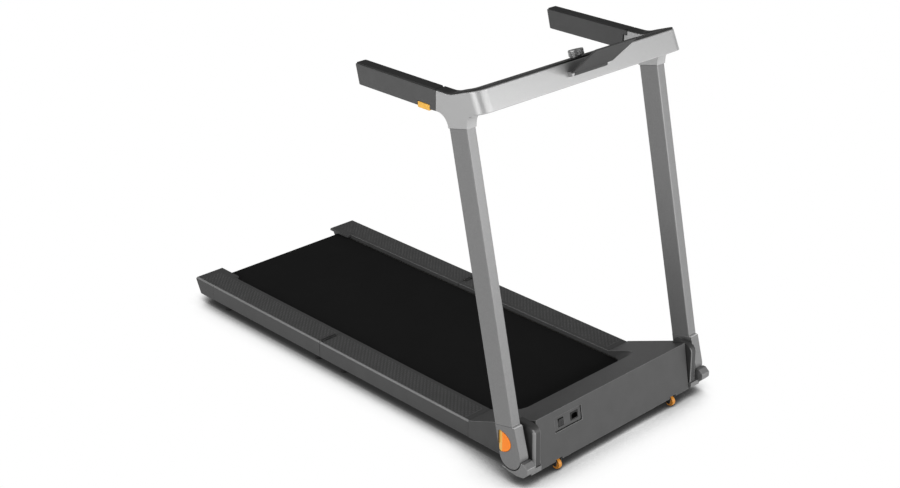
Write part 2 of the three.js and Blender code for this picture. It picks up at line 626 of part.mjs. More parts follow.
// The shoulder runs from the post up into the leg, with a curved gusset to the rear.
function shoulder() {
  const shape = new THREE.Shape();
  const rear = post(-2, POST.length + GAP);
  const front = post(POST.deep + 2, POST.length + GAP);
  shape.moveTo(...rear);
  shape.lineTo(...front);
  shape.lineTo(front[0] + 4, 945);
  shape.lineTo(BAR.seam + 4, 930);
  shape.lineTo(BAR.seam + 4, BAR.bottom + 1);
  shape.quadraticCurveTo(rear[0] - 12, BAR.bottom - 1, rear[0] - 2, rear[1] + 8);
  return prismX(shape, POST.x0 - 1.5, BAR.outer - GAP);
}

const barTop = (y) => ({
  y: y - SWEEP.lean * (BAR.top - BAR.bottom) / 2,
  z: BAR.top + rise(y),
});
const KNOB_AT = barTop(BAR.front - BAR.deep / 2);
const KNOB_TILT = Math.atan(SWEEP.slope);

function knobCylinder(r, from, to, sides) {
  const geometry = new THREE.CylinderGeometry(r, r, to - from, sides).rotateX(Math.PI / 2);
  geometry.translate(0, 0, (from + to) / 2).rotateX(KNOB_TILT);
  return geometry.translate(0, KNOB_AT.y, KNOB_AT.z);
}

// The tablet rest's barrel stands off the middle of the bar's front face.
const FACE_LEAN = Math.atan(SWEEP.lean);
const REST_AT = {
  y: BAR.front + SWEEP.lean * 3 + REST.off * Math.cos(FACE_LEAN),
  z: (BAR.bottom + BAR.top) / 2 - 3 + rise(BAR.front) + REST.off * Math.sin(FACE_LEAN),
};

function restLug(x0, x1) {
  return [
    cylinderX(REST.barrel, x0, x1, REST_AT.y, REST_AT.z),
    prismX([
      [REST_AT.y - 12, REST_AT.z - 9], [REST_AT.y + 1, REST_AT.z - 5.9],
      [REST_AT.y + 2, REST_AT.z + 5.6], [REST_AT.y - 14, REST_AT.z + 3],
    ], x0, x1),
  ];
}

function handlebar() {
  const lug = restLug(REST.lug + 0.5, REST.lug + 8);
  const stub = cylinderX(2.4, REST.lug - 6, REST.lug + 2, REST_AT.y, REST_AT.z, 16);
  const sides = [shoulder(), ...armLug(), ...lug, stub];
  return carve(
    [barSlab(0, BAR.bottom, BAR.top - COVER - 1), ...sides, ...sides.map(mirrored)],
    [knobCylinder(4.4, -14, 5, 20)]);
}
add('handlebar', handlebar(), 'silver');
add('handlebar_top_cover', carve(
  [barSlab(1.2, BAR.top - COVER, BAR.top)],
  [knobCylinder(4.4, -14, 5, 20)]), 'black_plastic');
const knob = carve([knobCylinder(KNOB.r, 0.5, KNOB.high, 40), knobCylinder(3.5, -10, 2, 20)]);
add('speed_knob', knob, 'silver');

function tabletRest() {
  const d = Math.SQRT1_2;
  const t = REST.thick / 2;
  const at = (along, out) => [REST_AT.y + d * along + d * out, REST_AT.z + d * along - d * out];
  const plate = prismX([at(2, t), at(REST.reach, t), at(REST.reach, -t), at(2, -t)], -REST.half, REST.half);
  const barrel = cylinderX(REST.barrel, -REST.lug, REST.lug, REST_AT.y, REST_AT.z);
  const socket = cylinderX(3, REST.lug - 8, REST.lug + 5, REST_AT.y, REST_AT.z, 16);
  const { y, z } = REST_AT;
  const besideBarrel = box(REST.lug - 0.5, REST.half + 5, y - 20, y + 9, z - 20, z + 9);
  const cuts = [socket, besideBarrel];
  return carve([plate, barrel], [...cuts, ...cuts.map(mirrored)]);
}
add('tablet_rest', tabletRest(), 'black_plastic');

// ---- armrests ----
const RELEASE = { x0: 345, y0: 1062, y1: 1104, z0: 909, z1: 924, travel: 3 };

function armrest() {
  const inner = BAR.outer - BAR.wide;
  const end = BAR.seam - GAP;
  const body = prismX([
    [ARM.tip, BAR.top], [ARM.tipFoot, BAR.bottom], [end, BAR.bottom], [end, BAR.top],
  ], inner, BAR.outer);
  const cornerOff = box(inner - 5, ARM_PIN.x, ARM_PIN.y, end + 5, 900, 990);
  const cornerOn = cylinderZ(ARM.pinInset, ARM_PIN.x, ARM_PIN.y, BAR.bottom, BAR.top, 32);
  const slot = box(inner - 5, ARM_PIN.x + 7, ARM_PIN.y - 7, end + 5, ...ARM.slot);
  const bore = cylinderZ(ARM.pinR + 0.6, ARM_PIN.x, ARM_PIN.y, ARM.slot[0] - 12, ARM.slot[1] + 12, 16);
  const { x0, y0, y1, z1, travel } = RELEASE;
  const notch = box(x0 - 0.6, BAR.outer + 5, y0 - 0.6, y1 + 0.6, 900, z1 + travel + 0.6);
  const main = solid(body).subtract(solid(cornerOff)).add(solid(cornerOn));
  return geometryOf(main.subtract(solid(slot)).subtract(solid(bore)).subtract(solid(notch)));
}
addPair('armrest', armrest(), 'grey_plastic');
const { x0, y0, y1, z0, z1 } = RELEASE;
addPair('armrest_release', box(x0, BAR.outer - 0.2, y0, y1, z0, z1), 'orange');

export default treadmill;
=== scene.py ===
# %% [markdown]
# # A folding home treadmill
#
# The machine is a long deck that folds over its middle seam, a hood over the drive at the front,
# and a silver handle frame that folds down over the deck. Its looks come from large smooth
# mouldings with small, even edge roundings, so most cells here build one moulding as a rounded
# outline carried along an axis.
#
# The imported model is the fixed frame. Every outline below is written in millimetres, in the same
# place as the solid that it stands for, and one function turns it into a mesh in metres.

# %% Load the frame
import json
import math

import bmesh
import bpy
from mathutils import Matrix, Vector

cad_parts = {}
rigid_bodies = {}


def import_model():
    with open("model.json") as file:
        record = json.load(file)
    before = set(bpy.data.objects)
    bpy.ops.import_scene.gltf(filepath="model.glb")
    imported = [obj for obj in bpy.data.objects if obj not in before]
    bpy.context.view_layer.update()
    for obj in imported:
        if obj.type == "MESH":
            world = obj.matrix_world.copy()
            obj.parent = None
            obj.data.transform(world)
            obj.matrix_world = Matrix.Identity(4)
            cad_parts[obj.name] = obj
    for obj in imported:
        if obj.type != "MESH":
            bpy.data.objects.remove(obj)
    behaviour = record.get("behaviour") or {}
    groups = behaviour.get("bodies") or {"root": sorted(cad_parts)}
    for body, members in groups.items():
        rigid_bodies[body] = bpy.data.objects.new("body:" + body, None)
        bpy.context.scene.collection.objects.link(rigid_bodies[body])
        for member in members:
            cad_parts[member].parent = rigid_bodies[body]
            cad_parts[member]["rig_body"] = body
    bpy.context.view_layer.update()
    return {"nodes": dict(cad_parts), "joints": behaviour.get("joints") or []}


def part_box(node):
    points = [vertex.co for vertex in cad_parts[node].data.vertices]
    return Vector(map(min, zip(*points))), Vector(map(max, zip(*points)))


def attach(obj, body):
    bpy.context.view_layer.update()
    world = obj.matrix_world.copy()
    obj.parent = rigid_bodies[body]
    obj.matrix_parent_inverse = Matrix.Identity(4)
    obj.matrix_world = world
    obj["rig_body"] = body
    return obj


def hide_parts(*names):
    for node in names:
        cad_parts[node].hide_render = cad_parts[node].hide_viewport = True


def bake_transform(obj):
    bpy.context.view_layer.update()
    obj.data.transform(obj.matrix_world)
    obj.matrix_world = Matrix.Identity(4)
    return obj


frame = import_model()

MM = 0.001
SIDES = {"right": 1, "left": -1}
joints = {joint["name"]: joint for joint in frame["joints"]}


def box_mm(node):
    """Lowest and highest corner of a frame node, in millimetres."""
    low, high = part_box(node)
    return low / MM, high / MM


DECK_LOW, DECK_HIGH = box_mm("rear_end_cap_right")
REAR = DECK_LOW.y
RAIL_OUTER = DECK_HIGH.x
RAIL_TOP = DECK_HIGH.z
RAIL_INNER = box_mm("front_rail_right")[0].x
SEAM = joints["deck_fold"]["pos_m"][1] / MM
KNEE = box_mm("hood_cover")[0].y
BELT_HALF = box_mm("running_belt_front")[1].x
BELT_TOP = box_mm("running_belt_front")[1].z
print("deck from", round(REAR), "to", round(DECK_HIGH.y), "seam at", round(SEAM), "knee at", round(KNEE))

# %% [markdown]
# ## Camera
#
# The view is from the front right corner, a little above the handlebar, with a long lens, so the
# upright edges stay almost parallel.

# %% Camera
eye = bpy.data.cameras.new("eye")
eye.sensor_width = 36
eye.lens = 63.22
camera = bpy.data.objects.new("camera", eye)
camera.location = (2.789, 2.970, 2.173)
camera.rotation_euler = (math.radians(90 - 24.42), 0, math.radians(136.09))
bpy.context.scene.collection.objects.link(camera)
bpy.context.scene.camera = camera

# %% [markdown]
# ## Materials
#
# Every finish starts from one Principled shader. Colours are written as the sRGB hex value that
# they should have in even light, and one function turns them to linear light. A second function
# adds a node with its settings and its links, so a pattern reads as a short list.

# %% Colour and node helpers
def linear(code, alpha=1.0):
    """An sRGB hex colour such as 3c3c3c as linear red, green, blue and alpha."""
    parts = [int(code[i:i + 2], 16) / 255 for i in (0, 2, 4)]
    return [p / 12.92 if p <= 0.04045 else ((p + 0.055) / 1.055) ** 2.4 for p in parts] + [alpha]


def add_node(tree, kind, inputs=None, **settings):
    """Adds a node with its settings. inputs gives each socket a value or another node's output."""
    made = tree.nodes.new(kind)
    for key, value in settings.items():
        setattr(made, key, value)
    for key, value in (inputs or {}).items():
        if isinstance(value, bpy.types.NodeSocket):
            tree.links.new(value, made.inputs[key])
        else:
            made.inputs[key].default_value = value
    return made


def new_material(name, colour, roughness, **more):
    """A Principled material. more names further sockets, with spaces written as underscores."""
    made = bpy.data.materials.new(name)
    made.use_nodes = True
    shader = made.node_tree.nodes["Principled BSDF"]
    shader.inputs["Base Color"].default_value = linear(colour)
    shader.inputs["Roughness"].default_value = roughness
    for key, value in more.items():
        shader.inputs[key.replace("_", " ")].default_value = value
    made.diffuse_color = linear(colour)
    return made, made.node_tree, shader


def tone_between(tree, factor, dark, light, start=0.0, stop=1.0):
    """The colour output of a ramp from one hex value to another, driven by a factor."""
    ramp = add_node(tree, "ShaderNodeValToRGB", {"Fac": factor})
    first, last = ramp.color_ramp.elements
    first.position, first.color = start, linear(dark)
    last.position, last.color = stop, linear(light)
    return ramp.outputs["Color"]


# %% [markdown]
# Moulded plastic is never one flat colour. The steel mould is spark eroded, which leaves a fine
# grain in the surface, and the plastic flows and cools unevenly, which leaves a faint mottle. Both
# are noise on object coordinates: the grain drives the bump, the mottle moves the colour by a few
# per cent. The real grain is about 0.3 mm, too fine to show, so it is drawn a little coarser.

# %% Moulded plastics
def moulded(name, colour, light, roughness, grain_mm=1.1, depth=0.12, **more):
    """A moulded plastic whose colour drifts between two hex values."""
    made, tree, shader = new_material(name, colour, roughness, Specular_IOR_Level=0.3, **more)
    place = add_node(tree, "ShaderNodeTexCoord").outputs["Object"]
    mottle = add_node(tree, "ShaderNodeTexNoise", {"Vector": place, "Scale": 24.0, "Detail": 5.0})
    grain = add_node(tree, "ShaderNodeTexNoise",
                     {"Vector": place, "Scale": 1 / (grain_mm * MM), "Detail": 2.0})
    speck = add_node(tree, "ShaderNodeMapRange",
                     {"Value": grain.outputs["Fac"], "From Min": 0.3, "From Max": 0.7,
                      "To Min": roughness - 0.05, "To Max": roughness + 0.05})
    bump = add_node(tree, "ShaderNodeBump",
                    {"Height": grain.outputs["Fac"], "Strength": depth, "Distance": 0.0006})
    tree.links.new(tone_between(tree, mottle.outputs["Fac"], colour, light), shader.inputs["Base Color"])
    tree.links.new(speck.outputs["Result"], shader.inputs["Roughness"])
    tree.links.new(bump.outputs["Normal"], shader.inputs["Normal"])
    return made


RAIL = moulded("ABS, moulded, spark-eroded grain", "363636", "404040", 0.52)
# The pips are painted lighter than the rail, a painted highlight where light catches the raised tread.
TREAD_PAINTED_LIT = moulded("ABS, tread pips, painted lighter as lit", "474747", "565656", 0.5, depth=0.05)
# A lighter copy of the rail plastic, laid on chamfers and broken edges as a painted highlight.
EDGE_HIGHLIGHT = moulded("ABS, painted edge highlight", "6a6a6a", "787878", 0.38, depth=0.03)
GUARD = moulded("ABS, fine texture, darker", "303030", "393939", 0.45)
HOOD = moulded("ABS, moulded, dark grey", "383838", "424242", 0.5)
ARM = moulded("ABS, satin lacquer, dark grey", "3f3f3f", "484848", 0.55, grain_mm=0.8, depth=0.05)
GRIP = moulded("ABS, soft-touch lacquer", "2d2d2d", "363636", 0.6, grain_mm=0.8, depth=0.06)
PAD = moulded("thermoplastic elastomer, matt black", "161616", "1f1f1f", 0.62, grain_mm=1.4)
PAN = moulded("polypropylene, moulded, black", "1c1c1c", "262626", 0.6)
GLOSS_BLACK = moulded("polycarbonate, polished black", "101010", "181818", 0.28, depth=0.02)
ORANGE = moulded("ABS, polished, orange", "e8760c", "f28a22", 0.3, depth=0.02)
# Also laid on the orange button's slanted facet, where it is a painted highlight.
YELLOW_AND_FACET_HIGHLIGHT = moulded("ABS, polished, amber yellow, also a painted facet highlight", "d9a23c", "e6b250", 0.35, depth=0.02)
AMBER = moulded("polyurethane, cast, amber", "a86a22", "c4842f", 0.38, depth=0.05)
RUBBER = moulded("natural rubber, moulded", "161616", "202020", 0.8, grain_mm=1.6, depth=0.2)
BOARD = moulded("fibreboard with phenolic film", "31291f", "3d3428", 0.42, grain_mm=3.0)
print("moulded plastics:", len(bpy.data.materials))

# %% [markdown]
# The handle frame is sprayed with silver lacquer, aluminium flake under a satin clear coat. The
# flake gives a sandy speckle in the light, which is drawn as a noise on both the colour and the
# roughness. Bare metal parts are turned or plated: their marks run round the axis of the part.

# %% Silver lacquer and metals
def lacquer(name, dark, light, roughness, metallic, flake_mm=1.5):
    """Aluminium flake in satin lacquer: speckled in colour and in gloss."""
    made, tree, shader = new_material(name, dark, roughness, Metallic=metallic, Coat_Weight=0.15)
    shader.inputs["Coat Roughness"].default_value = 0.3
    place = add_node(tree, "ShaderNodeTexCoord").outputs["Object"]
    flake = add_node(tree, "ShaderNodeTexNoise",
                     {"Vector": place, "Scale": 1 / (flake_mm * MM), "Detail": 3.0, "Roughness": 0.7})
    spread = tone_between(tree, flake.outputs["Fac"], dark, light, 0.36, 0.64)
    gloss = add_node(tree, "ShaderNodeMapRange",
                     {"Value": flake.outputs["Fac"], "From Min": 0.3, "From Max": 0.7,
                      "To Min": roughness - 0.04, "To Max": roughness + 0.06})
    tree.links.new(spread, shader.inputs["Base Color"])
    tree.links.new(gloss.outputs["Result"], shader.inputs["Roughness"])
    return made


def bare_metal(name, colour, roughness, mark_mm, depth=0.1):
    """A turned or plated metal, with fine marks that run round the X axis."""
    made, tree, shader = new_material(name, colour, roughness, Metallic=1.0)
    place = add_node(tree, "ShaderNodeTexCoord").outputs["Object"]
    stretch = add_node(tree, "ShaderNodeMapping", {"Vector": place, "Scale": (1.0, 0.05, 0.05)})
    marks = add_node(tree, "ShaderNodeTexNoise",
                     {"Vector": stretch.outputs["Vector"], "Scale": 1 / (mark_mm * MM), "Detail": 3.0})
    gloss = add_node(tree, "ShaderNodeMapRange",
                     {"Value": marks.outputs["Fac"], "To Min": roughness - 0.08, "To Max": roughness + 0.1})
    bump = add_node(tree, "ShaderNodeBump",
                    {"Height": marks.outputs["Fac"], "Strength": depth, "Distance": 0.0002})
    tree.links.new(gloss.outputs["Result"], shader.inputs["Roughness"])
    tree.links.new(bump.outputs["Normal"], shader.inputs["Normal"])
    return made


POST = lacquer("aluminium, silver lacquer", "646464", "767676", 0.4, 0.35)
BOOT = lacquer("die-cast aluminium, silver lacquer", "606060", "707070", 0.42, 0.35)
# A near-white copy of the boot lacquer, for the ledge's top: a painted highlight.
LEDGE_HIGHLIGHT = lacquer("die-cast aluminium, painted ledge highlight", "c8c8c8", "d8d8d8", 0.4, 0.4)
CAST = lacquer("die-cast aluminium, satin", "626262", "767676", 0.4, 0.4)
SHELL = lacquer("ABS, satin silver lacquer", "949494", "a4a4a4", 0.36, 0.4, flake_mm=1.0)
KNOB = bare_metal("aluminium, turned and anodised", "858585", 0.34, 0.8)
ZINC = bare_metal("steel, zinc plated", "a8a8a2", 0.34, 1.0)
DARK_STEEL = bare_metal("steel, phosphated", "55575a", 0.42, 1.0)
HINGE_STEEL = bare_metal("steel, black oxide", "343434", 0.5, 1.0)
FRAME_COAT = moulded("steel, black powder coat", "1f1f20", "2a2a2b", 0.45, grain_mm=1.8, depth=0.3)

# %% [markdown]
# The running belt is a polyester fabric with a PVC face that is embossed with a fine diamond, which
# keeps it from shining. Two sets of diagonal waves multiply into that diamond. The real pitch is
# about 1.2 mm, which would only shimmer at this distance, so it is drawn at 2.4 mm.

# %% Running belt
BELT_PITCH = 2.4          # drawn pitch of the embossed diamond, in millimetres


def belt_cover():
    """Black PVC with an embossed diamond and a little dust in its tone."""
    made, tree, shader = new_material("PVC belt, diamond embossed", "141414", 0.82)
    shader.inputs["Specular IOR Level"].default_value = 0.08
    place = add_node(tree, "ShaderNodeTexCoord").outputs["Object"]
    waves = []
    for angle in (33, -33):
        turned = add_node(tree, "ShaderNodeMapping",
                          {"Vector": place, "Rotation": (0, 0, math.radians(angle))})
        waves.append(add_node(tree, "ShaderNodeTexWave",
                              {"Vector": turned.outputs["Vector"],
                               "Scale": 1 / (BELT_PITCH * MM * 20 / math.tau)},
                              bands_direction="X"))
    diamond = add_node(tree, "ShaderNodeMath",
                       {0: waves[0].outputs["Fac"], 1: waves[1].outputs["Fac"]}, operation="MULTIPLY")
    bump = add_node(tree, "ShaderNodeBump",
                    {"Height": diamond.outputs["Value"], "Strength": 0.25, "Distance": 0.0004})
    dust = add_node(tree, "ShaderNodeTexNoise", {"Vector": place, "Scale": 9.0, "Detail": 6.0})
    tone = tone_between(tree, dust.outputs["Fac"], "121212", "181818")
    tree.links.new(tone, shader.inputs["Base Color"])
    tree.links.new(bump.outputs["Normal"], shader.inputs["Normal"])
    return made


BELT = belt_cover()

# %% [markdown]
# ## Building a moulding
#
# A moulding is an outline with rounded corners, carried along one axis, with rounded rims. Three
# small functions make it: `rounded` puts an arc in each corner, `inset` draws the outline in, and
# `loft` joins a row of rings into a closed skin. A Bevel modifier could round the rims too, but it
# shrinks its width wherever two edges meet closely, and here the width should stay even.

# %% Outlines
def counterclockwise(points):
    """The same outline, turned round if it runs clockwise."""
    area = sum(a[0] * b[1] - b[0] * a[1] for a, b in zip(points, points[1:] + points[:1]))
    return points if area > 0 else points[::-1]


def inset(points, by):
    """A counterclockwise outline drawn in by that much, with mitred corners."""
    result = []
    for i, here in enumerate(points):
        into = (here - points[i - 1]).normalized()
        away = (points[(i + 1) % len(points)] - here).normalized()
        first, second = Vector((-into.y, into.x)), Vector((-away.y, away.x))
        normal = (first + second).normalized()
        result.append(here + normal * by / max(0.3, normal.dot(first)))
    return result


def rounded(corners, radius=0.0, steps=5, drawn=0.0):
    """A counterclockwise outline with an arc in each corner, drawn in as a whole.

    A corner (a, b, r) has its own radius. The arcs shrink as the outline is drawn in, and grow in
    a hollow corner, so that no outline crosses itself.
    """
    corners = counterclockwise(list(corners))
    radii = [corner[2] if len(corner) > 2 else radius for corner in corners]
    sharp = inset([Vector(corner[:2]) for corner in corners], drawn)
    points = []
    for i, here in enumerate(sharp):
        back = sharp[i - 1] - here
        ahead = sharp[(i + 1) % len(sharp)] - here
        half = back.angle(ahead) / 2
        hollow = back.cross(ahead) > 0
        if radii[i] <= 0 or half > math.radians(89.5):
            points.append(here)
            continue
        r = max(0.03, radii[i] + (drawn if hollow else -drawn))
        reach = min(r / math.tan(half), back.length * 0.49, ahead.length * 0.49)
        r = reach * math.tan(half)
        middle = here + (back.normalized() + ahead.normalized()).normalized() * math.hypot(r, reach)
        first = here + back.normalized() * reach - middle
        last = here + ahead.normalized() * reach - middle
        turn = math.atan2(first.cross(last), first.dot(last))
        for k in range(steps + 1):
            points.append(middle + Matrix.Rotation(turn * k / steps, 2) @ first)
    return points


def loft(rings, closed=False):
    """Vertices and faces of a skin over equal rings, capped at both ends or closed in a loop."""
    count = len(rings[0])
    verts = [point for ring in rings for point in ring]
    faces = []
    pairs = list(zip(range(len(rings)), range(1, len(rings))))
    if closed:
        pairs.append((len(rings) - 1, 0))
    for a, b in pairs:
        for i in range(count):
            k = (i + 1) % count
            faces.append((a * count + i, a * count + k, b * count + k, b * count + i))
    if not closed:
        faces += [tuple(range(count)), tuple(range(len(verts) - count, len(verts)))]
    return verts, faces


AXES = {"X": lambda a, b, h: (h, a, b), "Y": lambda a, b, h: (a, h, b), "Z": lambda a, b, h: (a, b, h)}


def slab(corners, axis, low, high, rim=1.0, steps=3, radius=0.0, arc=5):
    """A solid with that outline between two levels of an axis, with both rims rounded."""
    turns = [math.pi / 2 * i / steps for i in range(steps + 1)]
    levels = [(low + rim * (1 - math.cos(t)), rim * (1 - math.sin(t))) for t in turns]
    levels += [(high + low - level, drawn) for level, drawn in reversed(levels)]
    return loft([[AXES[axis](*p, level) for p in rounded(corners, radius, arc, drawn)]
                 for level, drawn in levels])


def moved(shape, matrix):
    """The shape carried through a matrix."""
    verts, faces = shape
    return [tuple(matrix @ Vector(v)) for v in verts], faces


def mirrored(shape):
    """The shape on the other side of the machine."""
    verts, faces = shape
    return [(-x, y, z) for x, y, z in verts], faces


def both(*shapes):
    """Several shapes as one list of vertices and faces."""
    verts, faces = [], []
    for more_verts, more_faces in shapes:
        faces += [tuple(i + len(verts) for i in face) for face in more_faces]
        verts += list(more_verts)
    return verts, faces


# %% [markdown]
# The next functions turn a shape into an object. Its faces are pointed outwards, it is shaded smooth except
# at real edges, it rides on its body, and the frame nodes that it stands for are hidden. Weighted normals
# keep the large flats flat beside their narrow rims.

# %% From shape to object
def mesh_of(name, shape):
    """A mesh in metres, with its faces pointed outwards."""
    verts, faces = shape
    mesh = bpy.data.meshes.new(name)
    mesh.from_pydata([Vector(v) * MM for v in verts], [], faces)
    body = bmesh.new()
    body.from_mesh(mesh)
    bmesh.ops.recalc_face_normals(body, faces=body.faces)
    body.to_mesh(mesh)
    body.free()
    return mesh


def place_mesh(name, mesh, finish, body, stands_for=(), sharp=32):
    """Links a finished mesh, shades it and hands it to the frame."""
    made = bpy.data.objects.new(name, mesh)
    bpy.context.scene.collection.objects.link(made)
    mesh.materials.clear()
    mesh.materials.append(finish)
    mesh.shade_smooth()
    mesh.set_sharp_from_angle(angle=math.radians(sharp))
    weighted = made.modifiers.new("flat faces stay flat", "WEIGHTED_NORMAL")
    weighted.keep_sharp = True
    if body:
        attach(made, body)
    if stands_for:
        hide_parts(*stands_for)
    return made


def piece(name, shape, finish, body, stands_for=(), cuts=(), joins=(), sharp=32):
    """One visible piece, with other shapes joined to it or cut from it before it is shaded."""
    mesh = mesh_of(name, shape)
    if cuts or joins:
        work = bpy.data.objects.new(name + "_work", mesh)
        bpy.context.scene.collection.objects.link(work)
        tools = []
        for operation, shapes in (("UNION", joins), ("DIFFERENCE", cuts)):
            for tool_shape in shapes:
                tool = bpy.data.objects.new("tool", mesh_of("tool", tool_shape))
                bpy.context.scene.collection.objects.link(tool)
                tools.append(tool)
                step = work.modifiers.new("cut", "BOOLEAN")
                step.operation, step.object, step.solver = operation, tool, "EXACT"
        seen = work.evaluated_get(bpy.context.evaluated_depsgraph_get())
        mesh = bpy.data.meshes.new_from_object(seen)
        mesh.name = name
        for spent in [work, *tools]:
            bpy.data.objects.remove(spent)
    return place_mesh(name, mesh, finish, body, stands_for, sharp)


def paint_highlight(made, finish, test):
    """Gives a second, lighter finish, a painted highlight, to the faces whose normal and centre, in
    millimetres, pass the test.
    """
    made.data.materials.append(finish)
    slot = len(made.data.materials) - 1
    for face in made.data.polygons:
        if test(face.normal, face.center / MM):
            face.material_index = slot
    return made


def finished_node(node, finish, edge=0.0, sharp=32, edge_highlight_finish=None):
    """A frame node with its flat faces made whole and its edges broken by a small bevel."""
    work = bmesh.new()
    work.from_mesh(frame["nodes"][node].data)
    bmesh.ops.remove_doubles(work, verts=work.verts, dist=1e-5)
    bmesh.ops.dissolve_limit(work, angle_limit=math.radians(0.6), verts=work.verts, edges=work.edges)
    mesh = bpy.data.meshes.new(node + "_finished")
    work.to_mesh(mesh)
    work.free()
    made = place_mesh(node + "_finished", mesh, finish, frame["nodes"][node]["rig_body"],
                      (node,), sharp)
    if edge:
        bevel = made.modifiers.new("broken edges", "BEVEL")
        bevel.width, bevel.segments, bevel.limit_method = edge * MM, 2, "ANGLE"
        bevel.angle_limit = math.radians(40)
        # The bevel's faces can take a lighter finish: a painted highlight along the broken edges.
        if edge_highlight_finish:
            mesh.materials.append(edge_highlight_finish)
            bevel.material = 1
        made.modifiers.move(1, 0)
    return made


# %% [markdown]
# ## Running belt
#
# The belt is one endless loop. Over the fold it has to bend between the two halves of the deck, so it is
# one closed strip with cross rows close together at the seam.

# %% Running belt
def belt_loop():
    """A closed strip round both rollers, with close rows where it bends at the seam."""
    low, high = box_mm("running_belt_front")
    rear_low, _ = box_mm("running_belt_rear")
    thick = 1.8
    mid = (low.z + high.z) / 2
    outer = (high.z - low.z) / 2
    front, rear = high.y - outer, rear_low.y + outer
    near_seam = [SEAM + d for d in (-60, -20, -16, -12, -8, -4, 0, 4, 8, 12, 16, 20, 60)]
    rows = [(y, mid + outer) for y in near_seam]
    rows += [(front + outer * math.sin(t), mid + outer * math.cos(t))
             for t in [math.pi * i / 16 for i in range(17)]]
    rows += [(y, mid - outer) for y in reversed(near_seam)]
    rows += [(rear - outer * math.sin(t), mid - outer * math.cos(t))
             for t in [math.pi * i / 16 for i in range(17)]]
    path = [Vector(p) for p in rows]
    face = counterclockwise(path)
    edge = BELT_HALF
    rings = []
    for a, b in zip(face, inset(face, thick)):
        soft = (a - b).normalized() * 0.5
        rings.append([(-edge, *b), (-edge, *(a - soft)), (-edge + 0.5, *a),
                      (edge - 0.5, *a), (edge, *(a - soft)), (edge, *b)])
    return loft(rings, closed=True)


belt = place_mesh("running_belt", mesh_of("running_belt", belt_loop()), BELT, None,
                  ("running_belt_front", "running_belt_rear"), sharp=50)
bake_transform(belt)
print("belt faces:", len(belt.data.polygons))

# %% [markdown]
# ## Side rails
#
# Each rail is a moulded cover with a plain inner border, a tread of small raised pips where a foot may
# land, and a chamfer along its outer edge. The light that the chamfer catches is painted on it as a lighter
# finish, a painted highlight. The cover is one section carried along the deck.

# %% Rail covers
CHAMFER = 4.0
RAIL_WALL = 3
HINGE_ROOM = 6.2          # half the length that the hinge barrel needs along the deck
RAIL_BOTTOM = box_mm("front_rail_right")[0].z
RAIL_SECTION = [
    (RAIL_OUTER, RAIL_BOTTOM, 0.8), (RAIL_OUTER, RAIL_TOP - CHAMFER, 1.2),
    (RAIL_OUTER - CHAMFER, RAIL_TOP, 1.2), (RAIL_INNER, RAIL_TOP, 1.6), (RAIL_INNER, 60, 0.8),
    (RAIL_INNER + RAIL_WALL, 60, 0.8), (RAIL_INNER + RAIL_WALL, RAIL_TOP - RAIL_WALL, 0.5),
    (RAIL_OUTER - CHAMFER - 1.5, RAIL_TOP - RAIL_WALL, 0.5),
    (RAIL_OUTER - RAIL_WALL, RAIL_TOP - CHAMFER - 2, 0.5), (RAIL_OUTER - RAIL_WALL, RAIL_BOTTOM, 0.8),
]
hinge_low, hinge_high = box_mm("deck_hinge_pin_right")


def block(low, high, rim=0.2):
    """A plain box with slightly rounded edges, for cutting with."""
    (x0, y0, z0), (x1, y1, z1) = low, high
    return slab([(x0, y0), (x1, y0), (x1, y1), (x0, y1)], "Z", z0, z1, rim=rim, steps=1)


def on_side(side, *shapes):
    """The shapes as drawn for the right side, or mirrored for the left one."""
    return list(shapes) if side == "right" else [mirrored(shape) for shape in shapes]


def on_chamfer(normal, centre):
    """True on the long chamfer of a rail or an end cap, where a highlight is painted."""
    return abs(normal.x) > 0.3 and normal.z > 0.3 and centre.z > RAIL_TOP - CHAMFER - 1


def rail(part, side):
    """One rail cover, with room for the hinge at the seam."""
    node = f"{part}_rail_{side}"
    low, high = box_mm(node)
    cover, hinge_room = on_side(
        side, slab(RAIL_SECTION, "Y", low.y, high.y, rim=0.4, steps=2, arc=3),
        block((hinge_low.x - 1, SEAM - HINGE_ROOM, 60), (hinge_high.x + 1, SEAM + HINGE_ROOM, 90)))
    made = piece(node + "_cover", cover, RAIL, part + "_deck", (node,),
                 cuts=[hinge_room])
    # The chamfer takes the lighter finish: a painted highlight.
    paint_highlight(made, EDGE_HIGHLIGHT, on_chamfer)


for part in ("front", "rear"):
    for side in SIDES:
        rail(part, side)

# %% [markdown]
# ### Rear end caps
#
# The rails end in caps that also hold the ends of the rear roller. Each has a lip over the belt's
# edge, the same chamfer as the rail and, on its rear face, the bolt that sets the belt's tension.

# %% Screw heads
def ring(radius, height, steps=36):
    """A circle of points at one height."""
    return [(radius * math.cos(math.tau * i / steps), radius * math.sin(math.tau * i / steps), height)
            for i in range(steps)]


def socket_screw(radius, height, steps=36):
    """A cap screw head with a hexagon socket, standing up from zero."""
    def hexagon(h):
        """The socket's outline, with as many points as the rings."""
        points = []
        for i in range(steps):
            turn = math.tau * i / steps
            flat = radius * 0.45 / math.cos((turn % (math.tau / 6)) - math.pi / 6)
            points.append((flat * math.cos(turn), flat * math.sin(turn), h))
        return points
    return loft([ring(radius, -1), ring(radius, height * 0.86), ring(radius * 0.93, height),
                 hexagon(height), hexagon(height * 0.4)])


